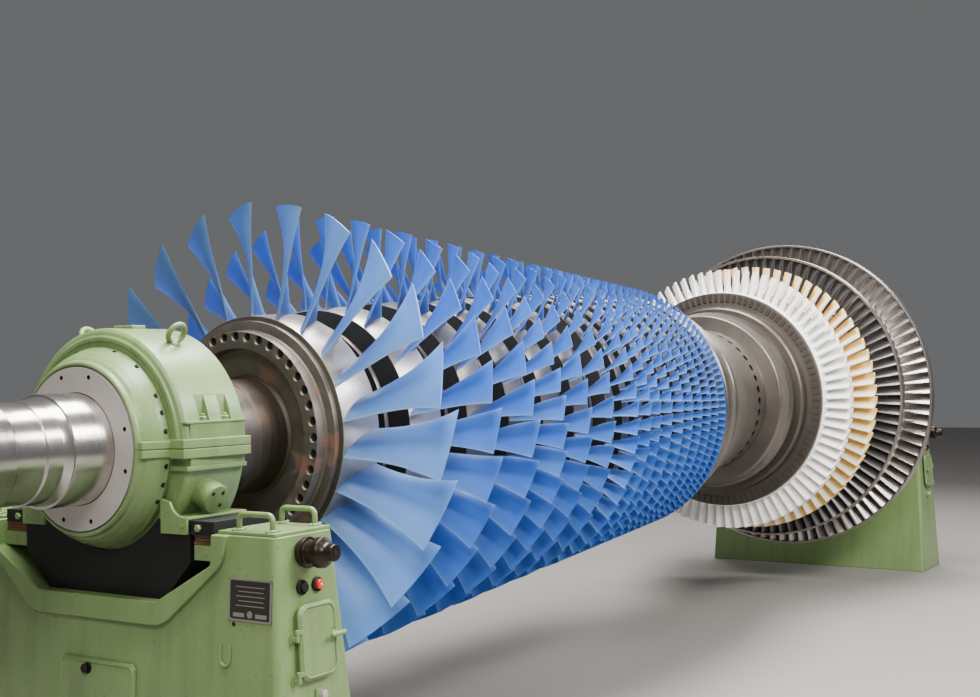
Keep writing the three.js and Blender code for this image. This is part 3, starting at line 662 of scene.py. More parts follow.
def new_tree(name, inputs):
    """An empty Geometry Nodes tree with named inputs, a start geometry and a result."""
    tree = bpy.data.node_groups.new(name, "GeometryNodeTree")
    tree.interface.new_socket("Geometry", in_out="INPUT", socket_type="NodeSocketGeometry")
    for label, kind in inputs.items():
        tree.interface.new_socket(label, in_out="INPUT", socket_type=kind)
    tree.interface.new_socket("Geometry", in_out="OUTPUT", socket_type="NodeSocketGeometry")
    return Graph(tree)


def inputs_of(graph):
    node = graph.node("NodeGroupInput")
    return {socket.name: Value(graph, socket) for socket in node.outputs if socket.name}


def finish_tree(graph, geometry, material):
    realized = graph.value("GeometryNodeRealizeInstances", {"Geometry": geometry})
    finished = graph.value("GeometryNodeSetMaterial", {"Geometry": realized, "Material": material})
    graph.node("NodeGroupOutput", {"Geometry": finished})
    return graph.tree


def laid_round(graph, part, count, first_angle, index):
    """Copies of a part round the X axis, one for each point of a line that has no length."""
    points = graph.value("GeometryNodeMeshLine", {"Count": count, "Offset": (0.0, 0.0, 0.0)})
    turn = first_angle + index * FULL_TURN / count
    angles = graph.value("ShaderNodeCombineXYZ", {"X": -turn})
    sockets = {"Points": points, "Instance": part, "Rotation": angles}
    return graph.value("GeometryNodeInstanceOnPoints", sockets)


def ring_tree():
    """Repeats the start geometry round the X axis."""
    sizes = {"Parts": "NodeSocketInt", "First Angle": "NodeSocketFloat"}
    graph = new_tree("Ring of parts", {**sizes, "Material": "NodeSocketMaterial"})
    given = inputs_of(graph)
    index = graph.value("GeometryNodeInputIndex")
    ring = laid_round(graph, given["Geometry"], given["Parts"], given["First Angle"], index)
    return finish_tree(graph, ring, given["Material"])


def run_tree(piece, tree, settings):
    """Runs a tree on a piece, keeps the result as its plain mesh and lifts it to the axis."""
    modifier = piece.modifiers.new(tree.name, "NODES")
    modifier.node_group = tree
    for item in tree.interface.items_tree:
        if item.in_out == "INPUT" and item.name in settings:
            modifier[item.identifier] = settings[item.name]
    return shifted(facing_out(settle(piece)), (0, 0, AXIS))


RING = ring_tree()


def ring_of(piece, parts, material, first_angle=0.0):
    return run_tree(piece, RING, {"Parts": parts, "First Angle": first_angle, "Material": material})

# %% Cutting


def drum_part(name, profile, aim, material, sides=16):
    """A small round part swept from (distance, radius) points along the aim from the origin."""
    vertices = []
    rings = []
    for distance, radius in profile:
        rings.append(range(len(vertices), len(vertices) + sides))
        for side in range(sides):
            angle = FULL_TURN * side / sides
            vertices.append(Vector((radius * math.cos(angle), radius * math.sin(angle), distance)))
    faces = [list(reversed(rings[0])), list(rings[-1])]
    for low, high in zip(rings, rings[1:]):
        for side in range(sides):
            after = (side + 1) % sides
            faces.append([low[side], low[after], high[after], high[side]])
    turn = Vector(aim).to_track_quat("Z", "Y").to_matrix()
    return make_piece(name, [turn @ vertex for vertex in vertices], faces, [material])


def cut(piece, tool, operation="DIFFERENCE"):
    """Cuts a tool out of a piece, or joins it on, and uses the tool up."""
    boolean = piece.modifiers.new("cut", "BOOLEAN")
    boolean.operation = operation
    boolean.solver = "EXACT"
    boolean.material_mode = "TRANSFER"
    boolean.object = tool
    settle(piece)
    bpy.data.objects.remove(tool)
    return piece


def smoothed(piece, angle=CREASE_ANGLE):
    piece.data.shade_smooth()
    piece.data.set_sharp_from_angle(angle=angle)
    return piece


# %% Front flange
FLANGE_BOLTS = 40
BOLT_CIRCLE = 0.472
FLANGE_FACE = -3.398
FLANGE_RIM = 0.546
BOLT_SUNK = 0.020

front_flange = lathe(
    "front_flange_disc",
    [
        (-3.335, 0.0), (-3.335, 0.405), (-3.345, 0.412), (FLANGE_FACE, 0.414), (FLANGE_FACE, 0.495),
        (-3.340, 0.497), (-3.334, 0.503), (-3.334, FLANGE_RIM), (-3.3003, FLANGE_RIM), (-3.3003, 0.0),
    ],
    [FLANGE],
    edge=0.004,
)
hole = drum_part("flange_hole", [(-0.002, 0.026), (0.006, 0.0185), (0.045, 0.0185)], (1, 0, 0), SHADE_AND_SCREW_BLACK)
shifted(hole, (FLANGE_FACE, -BOLT_CIRCLE, 0))
smoothed(cut(front_flange, ring_of(hole, FLANGE_BOLTS, FLANGE)))
on_rotor(front_flange, "machined_steel", "front_flange")

bolt_profile = [(0.0, 0.0165), (0.002, 0.0175), (0.040, 0.0175)]
bolt = drum_part("flange_bolts", bolt_profile, (1, 0, 0), SHADE_AND_SCREW_BLACK, sides=12)
shifted(bolt, (FLANGE_FACE + BOLT_SUNK, -BOLT_CIRCLE, 0))
on_rotor(smoothed(ring_of(bolt, FLANGE_BOLTS, SHADE_AND_SCREW_BLACK)), "machined_steel")
print("flange faces:", len(front_flange.data.polygons))

# %% [markdown]
# ## Compressor discs
#
# Sixteen discs are clamped together. Each has a bright turned platform that carries its blades, then a
# narrower neck with a thin balance strip in it; the neck and the front wall of the next disc are
# painted black as shade. Behind the first two rows the platforms take a darker copy of the rim
# steel as painted shade. The drum swells towards the rear as the air is squeezed into less room,
# so the platform radius follows a formula, and the casing over the tips closes in along a straight cone.

# %% Drum and casing
DRUM_START = -3.200
DRUM_LENGTH = 3.575
DRUM_FRONT = 0.570
DRUM_REAR = 0.776
CASING_FRONT = 1.107
CASING_REAR = 0.849
CASING_SLOPE = (CASING_REAR - CASING_FRONT) / DRUM_LENGTH
PLATFORM_FRONTS = [
    -3.3000, -2.848, -2.418, -2.078, -1.767, -1.459, -1.115, -0.930,
    -0.785, -0.600, -0.405, -0.240, -0.075, 0.085, 0.235, 0.380,
]
PLATFORM_REARS = [
    -3.060, -2.620, -2.215, -1.907, -1.604, -1.305, -1.029, -0.862,
    -0.690, -0.500, -0.320, -0.155, 0.005, 0.160, 0.310, 0.513,
]
ROWS = len(PLATFORM_FRONTS)
LIT_RIM_ROWS = 2
DEEPEST_GROOVE = 0.11
GROOVE_SHARE = 0.7
STRIP_PLACE = 0.52
STRIP_HALF = 0.07
STRIP_SUNK = 0.35


def drum_radius(x):
    left = 1 - min(max((x - DRUM_START) / DRUM_LENGTH, 0.0), 1.0)
    return DRUM_FRONT + (DRUM_REAR - DRUM_FRONT) * (1 - left * left)


def casing_radius(x):
    return CASING_FRONT + CASING_SLOPE * (x - DRUM_START)


def compressor_disc(row):
    front = PLATFORM_FRONTS[row]
    rear = PLATFORM_REARS[row]
    rim_front = drum_radius(front)
    rim_rear = drum_radius(rear)
    profile = [(front, 0.0), (front, rim_front), (rear, rim_rear)]
    last = row + 1 == ROWS
    if not last:
        after = PLATFORM_FRONTS[row + 1] - FACE_GAP
        room = PLATFORM_FRONTS[row + 1] - rear
        depth = min(DEEPEST_GROOVE, GROOVE_SHARE * room)
        floor = rim_rear - depth
        strip_top = rim_rear - STRIP_SUNK * depth
        middle = rear + STRIP_PLACE * room
        strip = STRIP_HALF * room
        profile += [
            (rear, floor), (middle - strip, floor), (middle - strip, strip_top), (middle + strip, strip_top),
            (middle + strip, floor), (after, floor), (after, 0.0),
        ]
    else:
        profile += [(rear - FACE_GAP, 0.0)]
    # Painted shade: rows after the first two get the darker rim steel.
    bright = PLATFORM if row < LIT_RIM_ROWS else DARK_RIM_STEEL_AND_PAINTED_SHADE
    disc = lathe(f"compressor_disc_{row + 1:02d}", profile, [bright, SHADE_AND_SCREW_BLACK, DARK_RIM_STEEL_AND_PAINTED_SHADE], sides=DISC_SIDES)
    half_edge = EDGE_BREAK / 2
    # Painted shade: the groove's floor and rear wall are painted black.
    paint_faces(disc, 1, lambda x, radius: x > rear - half_edge and radius < rim_rear - EDGE_BREAK)
    # Painted shade: the front wall below the rim is black too, but the first disc's takes the darker rim
    # steel.
    face = 1 if row else 2
    paint_faces(disc, face, lambda x, radius: x < front + half_edge and radius < rim_front - EDGE_BREAK)
    if not last:
        near_top = rim_rear - (STRIP_SUNK + 0.05) * depth
        paint_faces(disc, 2, lambda x, radius: abs(x - middle) < strip and radius > near_top)
    return on_rotor(disc, "machined_steel")


discs = [compressor_disc(row) for row in range(ROWS)]
print("discs:", len(discs), "last rim radius", round(drum_radius(PLATFORM_REARS[-1]), 3))

# %% [markdown]
# ## Blades
#
# A blade is a twisted, tapering wing section. It could be sculpted, but it follows a rule, so a
# Geometry Nodes tree makes it: a plain cylinder is bent into the wing by maths on its points, and
# the finished blade is repeated round the axis. Across the section the chord runs from the leading
# to the trailing edge, and up the span the chord, the stagger, the bow and the thickness change.
# One tree serves all twenty rows, because each size is a named input.

# %% The blade tree
BLADE_SIZES = [
    "First Angle", "Leading Edge", "Tip Shift", "Root Radius", "Root Slope", "Tip Radius", "Tip Slope",
    "Root Chord", "Tip Chord", "Waist", "Root Stagger", "Tip Stagger", "Root Bow", "Tip Bow",
    "Root Thickness", "Tip Thickness",
]
WAIST_SHARE_IN_FRONT = 0.43
NOSE_FULLNESS = 0.3
EDGE_SHARPNESS = 6.0


def blade_tree():
    counts = {"Blades": "NodeSocketInt", "Around": "NodeSocketInt", "Along": "NodeSocketInt"}
    sizes = {label: "NodeSocketFloat" for label in BLADE_SIZES}
    others = {"Seed": "NodeSocketInt", "Material": "NodeSocketMaterial"}
    graph = new_tree("Blade ring", {**counts, **sizes, **others})
    given = inputs_of(graph)
    raw = graph.value(
        "GeometryNodeMeshCylinder",
        {"Vertices": given["Around"], "Side Segments": given["Along"], "Radius": 1.0, "Depth": 1.0},
        fill_type="NGON",
    )
    place = graph.node("ShaderNodeSeparateXYZ", {"Vector": graph.value("GeometryNodeInputPosition")})
    across = Value(graph, place.outputs["X"])
    side = Value(graph, place.outputs["Y"])
    span = Value(graph, place.outputs["Z"]) + 0.5

    def along_span(size):
        return given["Root " + size] + (given["Tip " + size] - given["Root " + size]) * span

    middle = span * (1 - span) * 4
    chord = along_span("Chord") - given["Waist"] * middle
    stagger = along_span("Stagger")
    share = (across + 1) * 0.5
    forward = share * chord + given["Waist"] * WAIST_SHARE_IN_FRONT * middle
    bowed = along_span("Bow") * chord * (1 - across * across)
    thick = side * along_span("Thickness") * 0.5 * (1 - NOSE_FULLNESS * across)
    outward = bowed + thick
    axial = forward * stagger.cosine() - outward * stagger.sine()
    sideways = forward * stagger.sine() + outward * stagger.cosine()
    root = given["Root Radius"] + given["Root Slope"] * axial
    tip = given["Tip Radius"] + given["Tip Slope"] * axial
    radius = root + (tip - root) * span
    turn = sideways / radius
    x = given["Leading Edge"] + given["Tip Shift"] * span + axial
    corner = {"X": x, "Y": -(radius * turn.cosine()), "Z": radius * turn.sine()}
    position = graph.value("ShaderNodeCombineXYZ", corner)

    def stored(geometry, label, field, domain="POINT"):
        sockets = {"Geometry": geometry, "Name": label, "Value": field}
        return graph.value("GeometryNodeStoreNamedAttribute", sockets, domain=domain)

    raw = stored(raw, "blade_edge", (across * across) ** EDGE_SHARPNESS)
    raw = stored(stored(raw, "blade_span", span), "blade_chord", share)
    blade = graph.value("GeometryNodeSetPosition", {"Geometry": raw, "Position": position})
    index = graph.value("GeometryNodeInputIndex")
    ring = laid_round(graph, blade, given["Blades"], given["First Angle"], index)
    draw = {"ID": index, "Seed": given["Seed"]}
    shade = graph.value("FunctionNodeRandomValue", draw, output=1, data_type="FLOAT")
    return finish_tree(graph, stored(ring, "blade_shade", shade, "INSTANCE"), given["Material"])


BLADES = blade_tree()


def blade_ring(name, settings):
    empty = in_scene(name, bpy.data.meshes.new(name))
    return smoothed(run_tree(empty, BLADES, settings), ROUND_ANGLE)


# %% Compressor rows
BLADE_COUNTS = [22, 29, 32, 44, 40, 44, 56, 64, 70, 76, 84, 92, 100, 108, 112, 118]
FIRST_ANGLES = [6.57, 7.17, 3.37, 1.27, -3.53, 0.47]
TIP_SHIFTS = [0.0, 0.006, -0.025, -0.028, -0.042, -0.039, -0.028, -0.022, -0.018]
TIP_CHORDS = [(0.157, 0.308), (0.100, 0.211), (0.085, 0.181), (0.065, 0.128), (0.065, 0.138), (0.057, 0.122)]
ROOT_STAGGERS = [28.0, 19.0, 17.0, 20.0, 16.0, 10.0]
WAISTS = [0.24, 0.15, 0.08]
FINE_ROWS = 6
TIP_COVER = 0.92
TIP_LEAN = 0.5
ROOT_INSET = 0.003
ROOT_SUNK = 0.012


def pick(values, place):
    return values[min(place, len(values) - 1)]


def compressor_blades(row):
    front = PLATFORM_FRONTS[row]
    rear = PLATFORM_REARS[row]
    tip_radius = casing_radius(front)
    fine = row < FINE_ROWS
    if fine:
        axial, sideways = TIP_CHORDS[row]
    else:
        sideways = TIP_COVER * FULL_TURN * tip_radius / BLADE_COUNTS[row]
        axial = TIP_LEAN * sideways
    stagger = math.radians(pick(ROOT_STAGGERS, row))
    root_chord = (rear - front - 2 * ROOT_INSET) / math.cos(stagger)
    tip_chord = math.hypot(axial, sideways)
    settings = {
        "Blades": BLADE_COUNTS[row],
        "Around": 14 if fine else 8,
        "Along": 10 if fine else 4,
        "First Angle": math.radians(FIRST_ANGLES[row] if fine else 0.0),
        "Leading Edge": front + ROOT_INSET,
        "Tip Shift": pick(TIP_SHIFTS, row) - ROOT_INSET,
        "Root Radius": drum_radius(front) - ROOT_SUNK,
        "Root Slope": (drum_radius(rear) - drum_radius(front)) / (rear - front),
        "Tip Radius": tip_radius,
        "Tip Slope": CASING_SLOPE,
        "Root Chord": root_chord,
        "Tip Chord": tip_chord,
        "Waist": pick(WAISTS, row) * root_chord,
        "Root Stagger": stagger,
        "Tip Stagger": math.atan2(sideways, axial),
        "Root Bow": 0.080,
        "Tip Bow": 0.022,
        "Root Thickness": 0.078 * root_chord,
        "Tip Thickness": 0.026 * tip_chord,
        "Seed": row,
        # Painted light: the first row wears the paler copy of the coating.
        "Material": BLUE if row else FIRST_ROW_LIT_BLUE,
    }
    ring = blade_ring(f"compressor_blades_{row + 1:02d}", settings)
    return on_rotor(ring, "blue_blade_paint", f"compressor_row_{row + 1:02d}")


compressor = [compressor_blades(row) for row in range(ROWS)]
print("compressor blades:", sum(BLADE_COUNTS), "faces:", sum(len(ring.data.polygons) for ring in compressor))

# %% [markdown]
# ## Torque tube
#
# Behind the compressor a hollow waist carries the torque to the turbine. Forty round holes let
# cooling air into the rotor. It is one turned profile, and the holes are cut by a ring of cutters.

# %% Torque tube
AIR_HOLES = 40
HOLE_PLACE = 1.675
HOLE_REACH = (0.40, 0.70)
HOLE_RADIUS = 0.028
HOLE_STRETCH = 1.3

torque_tube = lathe(
    "torque_tube_body",
    [
        (0.5133, 0.0), (0.5133, 0.758), (0.560, 0.757), (0.570, 0.742), (0.640, 0.738), (0.650, 0.752),
        (0.783, 0.742), (0.798, 0.732), (0.802, 0.655), (0.830, 0.640), (1.010, 0.640), (1.022, 0.655),
        (1.040, 0.657), (1.300, 0.612), (1.674, 0.562), (1.800, 0.553), (1.836, 0.556), (1.836, 0.668),
        (1.846, 0.676), (1.900, 0.680), (1.960, 0.690), (1.998, 0.706), (2.012, 0.706), (2.020, 0.697),
        (2.0997, 0.697), (2.0997, 0.0),
    ],
    [TUBE],
    edge=0.006,
)
# Painted shade: the cutters carry the black, so the holes' walls are painted black as shade.
air_hole = drum_part("air_hole", [(reach, HOLE_RADIUS) for reach in HOLE_REACH], (0, -1, 0), SHADE_AND_SCREW_BLACK, sides=14)
air_hole.data.transform(Matrix.Diagonal((HOLE_STRETCH, 1, 1, 1)))
shifted(air_hole, (HOLE_PLACE, 0, 0))
smoothed(cut(torque_tube, ring_of(air_hole, AIR_HOLES, SHADE_AND_SCREW_BLACK)))
on_rotor(torque_tube, "tube_steel", "torque_tube")
print("torque tube faces:", len(torque_tube.data.polygons))

# %% [markdown]
# ## Turbine rows
#
# The turbine blades lean the same way as the compressor's, because both leave the air streaming
# backwards, but they are thick and hollow-faced and stand close together. The first two rows wear
# a white ceramic coat, the second browned by the gas, and both take painted shade in the hollow of
# each blade, warm gold in the second as a painted reflection. The last two are bare steel with a
# thin ring at the tip, where the blades' shroud tabs meet.

# %% Turbine
TURBINE = [
    {"front": 2.100, "rear": 2.440, "hub": 0.880, "lead": 2.250, "chord": 0.150, "tip": 1.066, "shift": 0.030,
     "blades": 80, "stagger": 30.0, "tip_stagger": 40.0, "thick": 0.046, "finish": WHITE,
     "slot": "white_coating"},
    {"front": 2.440, "rear": 2.930, "hub": 0.895, "lead": 2.735, "chord": 0.160, "tip": 1.112, "shift": 0.012,
     "blades": 70, "stagger": 26.0, "tip_stagger": 44.0, "thick": 0.046, "finish": GOLD,
     "slot": "gold_coating"},
    {"front": 2.930, "rear": 3.400, "hub": 0.905, "lead": 3.115, "chord": 0.150, "tip": 1.212, "shift": 0.040,
     "blades": 90, "stagger": 20.0, "tip_stagger": 50.0, "thick": 0.034, "finish": BLADE_STEEL,
     "slot": "dark_blade_steel", "shroud": 3.145},
    {"front": 3.400, "rear": 3.780, "hub": 0.878, "lead": 3.540, "chord": 0.170, "tip": 1.336, "shift": 0.045,
     "blades": 90, "stagger": 20.0, "tip_stagger": 56.0, "thick": 0.040, "finish": LAST_STEEL,
     "slot": "bright_blade_steel", "shroud": 3.577},
]
SPACER = 0.760
RIM_MARGIN = 0.012
COATING_OVERLAP = 0.010
SHROUD_WIDTH = 0.090
SHROUD_INNER = 0.004
SHROUD_OUTER = 0.014
BLADE_LOCKS = 100
ROW_SUNK = 0.010
TIP_NARROWING = 0.86
TIP_THINNING = 0.55
FIRST_SEED = 40


def turbine_disc(number, row):
    front = row["front"]
    rear = row["rear"] - FACE_GAP
    rim_front = row["lead"] - RIM_MARGIN
    rim_rear = row["lead"] + row["chord"] + RIM_MARGIN
    profile = [(front, 0.0), (front, SPACER), (rim_front, SPACER)]
    if number == 1:
        face = rim_front - 0.05
        profile = [
            (front, 0.0), (front, 0.735), (front + 0.012, 0.748), (front + 0.012, 0.756), (face, 0.756),
            (face, 0.870), (face + 0.03, 0.874),
        ]
    hub = row["hub"]
    profile += [(rim_front, hub), (rim_rear, hub), (rim_rear, SPACER), (rear, SPACER), (rear, 0.0)]
    disc = lathe(f"turbine_disc_{number}", profile, [DISC_STEEL, row["finish"]], sides=DISC_SIDES)
    coated = (rim_front - RIM_MARGIN - COATING_OVERLAP, hub - RIM_MARGIN)
    paint_faces(disc, 1, lambda x, radius: x > coated[0] and radius > coated[1])
    return on_rotor(disc, "machined_steel")


def turbine_blades(number, row):
    settings = {
        "Blades": row["blades"],
        "Around": 12,
        "Along": 4,
        "First Angle": 0.0,
        "Leading Edge": row["lead"],
        "Tip Shift": row["shift"],
        "Root Radius": row["hub"] - ROW_SUNK,
        "Root Slope": 0.0,
        "Tip Radius": row["tip"],
        "Tip Slope": 0.0,
        "Root Chord": row["chord"] / math.cos(math.radians(row["stagger"])),
        "Tip Chord": row["chord"] * TIP_NARROWING,
        "Waist": 0.0,
        "Root Stagger": math.radians(row["stagger"]),
        "Tip Stagger": math.radians(row["tip_stagger"]),
        "Root Bow": -0.14,
        "Tip Bow": -0.07,
        "Root Thickness": row["thick"],
        "Tip Thickness": row["thick"] * TIP_THINNING,
        "Seed": FIRST_SEED + number,
        "Material": row["finish"],
    }
    ring = blade_ring(f"turbine_blades_{number}", settings)
    return on_rotor(ring, row["slot"], f"turbine_row_{number}")


def tip_shroud(number, row):
    inner = row["tip"] - SHROUD_INNER
    outer = row["tip"] + SHROUD_OUTER
    front = row["shroud"]
    rear = front + SHROUD_WIDTH
    profile = [(front, inner), (front, outer), (rear, outer), (rear, inner), (front, inner)]
    return on_rotor(lathe(f"turbine_shroud_{number}", profile, [LAST_STEEL], edge=0.002), row["slot"])


for number, row in enumerate(TURBINE, start=1):
    turbine_disc(number, row)
    turbine_blades(number, row)
    if "shroud" in row:
        tip_shroud(number, row)

lock = make_piece(
    "blade_locks",
    [(x, y, z) for x in (0.080, 0.092) for y in (-0.858, -0.800) for z in (-0.016, 0.016)],
    [(0, 1, 3, 2), (4, 6, 7, 5), (0, 4, 5, 1), (2, 3, 7, 6), (0, 2, 6, 4), (1, 5, 7, 3)],
    [DISC_STEEL],
)
shifted(lock, (TURBINE[0]["front"], 0, 0))
on_rotor(ring_of(lock, BLADE_LOCKS, DISC_STEEL), "machined_steel")
print("turbine blades:", sum(row["blades"] for row in TURBINE))

# %% Exhaust shaft
CONE_END = 4.300

exhaust_shaft = lathe(
    "exhaust_shaft",
    [
        (3.780, 0.0), (3.780, 0.405), (3.900, 0.405), (4.120, 0.270), (CONE_END, 0.268), (CONE_END, JOURNAL),
        (4.990, JOURNAL), (4.990, SEAL_LAND), (EXHAUST_END, SEAL_LAND), (EXHAUST_END, 0.0),
    ],
    [POLISHED, HUB],
)
paint_faces(exhaust_shaft, 1, lambda x, radius: x < CONE_END - 0.01)
on_rotor(exhaust_shaft, "polished_steel", "rear_stub_shaft")

# %% [markdown]
# ## The pedestals
#
# Each pedestal is one hollow iron casting, filled, rubbed down and enamelled green. It tapers
# upwards and has a wide notch for the bearing. The two are mirror images, so every piece is
# modelled once, about the pedestal's own middle, and placed twice. A mirrored mesh comes out inside
# out, so the copy's faces are turned back. Small frames on the sloping walls place the fittings.

# %% Pedestal places
CENTRES = {}
for side in ("near", "far"):
    SILL_LOW, SILL_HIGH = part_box(f"{side}_sill")
    CENTRES[side] = (SILL_LOW.x + SILL_HIGH.x) / 2
BASE_DEPTH = (SILL_HIGH.x - SILL_LOW.x) / 2
TOWER_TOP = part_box("near_left_tower")[1].z
BASE_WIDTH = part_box("near_left_tower")[1].y
TOP_FRONT = -0.199
TOP_REAR = 0.140
TOP_WIDTH = 0.976
SIDE_LEAN = math.atan2(BASE_WIDTH - TOP_WIDTH, TOWER_TOP)
FACE_LEAN = math.atan2(BASE_DEPTH + TOP_FRONT, TOWER_TOP)
print("pedestals stand at", {side: round(x, 3) for side, x in CENTRES.items()}, "top", round(TOWER_TOP, 3))


def wall_frame(origin, right, up):
    """A frame whose X and Y lie in a wall and whose Z points out of it."""
    right, up = Vector(right), Vector(up)
    frame = Matrix((right, up, right.cross(up))).transposed().to_4x4()
    frame.translation = origin
    return frame


def side_wall(x, z):
    """A frame on the operator's side, with X along the rotor and Y up the slope."""
    y = -(TOP_WIDTH + (TOWER_TOP - z) * math.tan(SIDE_LEAN))
    return wall_frame((x, y, z), (1, 0, 0), (0, math.sin(SIDE_LEAN), math.cos(SIDE_LEAN)))


def front_face(z):
    return TOP_FRONT - (TOWER_TOP - z) * math.tan(FACE_LEAN)


def front_wall(y, z):
    """A frame on the front face, with X to the operator's side and Y up the slope."""
    return wall_frame((front_face(z), y, z), (0, -1, 0), (math.sin(FACE_LEAN), 0, math.cos(FACE_LEAN)))


def facing_front(x, y, z):
    """An upright frame that looks to the front, for bolts."""
    return wall_frame((x, y, z), (0, -1, 0), (0, 0, 1))


def both_sides(half):
    """An outline in (y, z) and its mirror image, joined over the middle."""
    return half + [(-y, z) for y, z in reversed(half)]


ALONG = wall_frame((0, 0, 0), (0, 1, 0), (0, 0, 1))

# %% Shape tools


def rounded(width, height, corner, steps=5):
    """The outline of a rectangle with round corners, about its middle."""
    points = []
    for quarter, (across, up) in enumerate(((1, 1), (-1, 1), (-1, -1), (1, -1))):
        for step in range(steps + 1):
            angle = math.pi / 2 * (quarter + step / steps)
            x = across * (width / 2 - corner) + corner * math.cos(angle)
            points.append((x, up * (height / 2 - corner) + corner * math.sin(angle)))
    return points


def loft(name, sections, material=GREEN):
    """A closed solid through outlines of 3-D points, each with as many points as the first."""
    size = len(sections[0])
    vertices = [point for section in sections for point in section]
    faces = [list(reversed(range(size))), list(range(len(vertices) - size, len(vertices)))]
    for low in range(0, len(vertices) - size, size):
        for place in range(size):
            after = (place + 1) % size
            faces.append([low + place, low + after, low + size + after, low + size + place])
    return facing_out(make_piece(name, vertices, faces, [material]))


def slab(name, outline, low, high, frame, material=GREEN):
    """An outline made thick from low to high along a frame's Z."""
    sections = [[frame @ Vector((x, y, height)) for x, y in outline] for height in (low, high)]
    return loft(name, sections, material)


EDGE_ANGLE = math.radians(35)
SHADING_ANGLE = math.radians(40)


def edged(piece, width, segments=3):
    """Rounds every sharp edge, as a file or a mould would."""
    bevel = piece.modifiers.new("soft edges", "BEVEL")
    bevel.width = width
    bevel.segments = segments
    bevel.limit_method = "ANGLE"
    bevel.angle_limit = EDGE_ANGLE
    return smoothed(settle(piece), SHADING_ANGLE)


def brick(name, low, high, material=GREEN, edge=0.004):
    """A block between two corners, with its edges rounded."""
    (x0, y0, z0), (x1, y1, z1) = low, high
    y0, y1 = sorted((y0, y1))
    outline = [(y0, z0), (y1, z0), (y1, z1), (y0, z1)]
    return edged(slab(name, outline, x0, x1, ALONG, material), edge)


def rod(name, path, radius, sides, closed=False):
    """A round green bar along a path of points."""
    points = [Vector(point) for point in path]
    count = len(points)
    vertices = []
    side = None
    for place, point in enumerate(points):
        before = points[place - 1] if closed or place else point
        after = points[(place + 1) % count] if closed or place + 1 < count else point
        along = (after - before).normalized()
        side = along.orthogonal() if side is None else side - along * side.dot(along)
        side.normalize()
        across = along.cross(side)
        for step in range(sides):
            angle = FULL_TURN * step / sides
            vertices.append(point + radius * (math.cos(angle) * side + math.sin(angle) * across))
    ends = [list(reversed(range(sides))), list(range(len(vertices) - sides, len(vertices)))]
    faces = [] if closed else ends
    for ring in range(count if closed else count - 1):
        low = ring * sides
        high = (ring + 1) % count * sides
        for step in range(sides):
            after = (step + 1) % sides
            faces.append([low + step, low + after, high + after, high + step])
    return facing_out(make_piece(name, vertices, faces, [GREEN], ROUND_ANGLE))


def knob(name, profile, frame, material=GREEN, sides=20):
    """A turned part along a frame's Z, from (distance, radius) points."""
    turned = drum_part(name, profile, (0, 0, 1), material, sides)
    turned.data.transform(frame)
    return turned


def joined(name, *pieces):
    """One piece from several closed shells, which keep their own materials."""
    materials = []
    shape = bmesh.new()
    for piece in pieces:
        places = []
        for material in piece.data.materials:
            if material not in materials:
                materials.append(material)
            places.append(materials.index(material))
        start = len(shape.faces)
        shape.from_mesh(piece.data)
        shape.faces.ensure_lookup_table()
        for face in shape.faces[start:]:
            face.material_index = places[face.material_index]
        bpy.data.objects.remove(piece)
    mesh = bpy.data.meshes.new(name)
    shape.to_mesh(mesh)
    shape.free()
    for material in materials:
        mesh.materials.append(material)
    return in_scene(name, mesh)


def evened(piece):
    """Lets the large faces rule the shading, so that flat walls stay flat beside round edges."""
    weighted = piece.modifiers.new("even shading", "WEIGHTED_NORMAL")
    weighted.keep_sharp = True
    return settle(piece)


def note_undersides(piece):
    """Stores how far each point faces down, which the green enamel darkens as painted shade."""
    facing = np.empty(3 * len(piece.data.vertices), dtype=np.float32)
    piece.data.vertex_normals.foreach_get("vector", facing)
    down = np.clip(-facing[2::3], 0.0, 1.0)
    piece.data.attributes.new("underside", "FLOAT", "POINT").data.foreach_set("value", down)


def stand(piece, slot, *nodes, body=None):
    """Places a piece in the near pedestal and its mirror image in the far one."""
    short = piece.name
    note_undersides(piece)
    mirror = in_scene(short, piece.data.copy())
    mirror.data.transform(Matrix.Diagonal((-1, 1, 1, 1)))
    mirror.data.flip_normals()
    for side, copy in (("near", piece), ("far", mirror)):
        copy.name = f"{side}_{short}"
        shifted(evened(copy), (CENTRES[side], 0, 0))
        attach(copy, f"{side}_{body}" if body else "pedestals")
        if nodes:
            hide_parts(*[f"{side}_{node}" for node in nodes])


# %% [markdown]
# ## Casting
#
# The casting is lofted between two rounded rectangles, because its walls slope differently. A raised
# rim runs round the notch to stiffen it. The rim is added and the notch is cut with a Boolean, and
# only then are the edges rounded, so that the whole reads as one poured shape.

# %% Casting
NOTCH = [(0.660, TOWER_TOP), (0.660, 1.200), (0.569, 1.151), (0.360, 1.037)]
NOTCH_RIM = [(0.740, TOWER_TOP), (0.722, 1.204), (0.398, 0.941)]
NOTCH_FLOOR = NOTCH[-1][1]
RIM_PROUD = 0.026
RIM_EASE = 0.055
NOTCH_EASE = 0.012
CORNER = 0.030


def valley(points, above, ease):
    """A V-shaped outline in (y, z), the same on both sides, closed over the tower's top."""
    whole = both_sides([(points[0][0], TOWER_TOP + above), *points])
    return [tuple(point) for point in softened(whole, ease, 4)]


def casting_section(height):
    share = height / TOWER_TOP
    rear = BASE_DEPTH + share * (TOP_REAR - BASE_DEPTH)
    half = BASE_WIDTH + share * (TOP_WIDTH - BASE_WIDTH)
    front = front_face(height)
    return [((front + rear) / 2 + x, y, height) for x, y in rounded(rear - front, 2 * half, CORNER)]


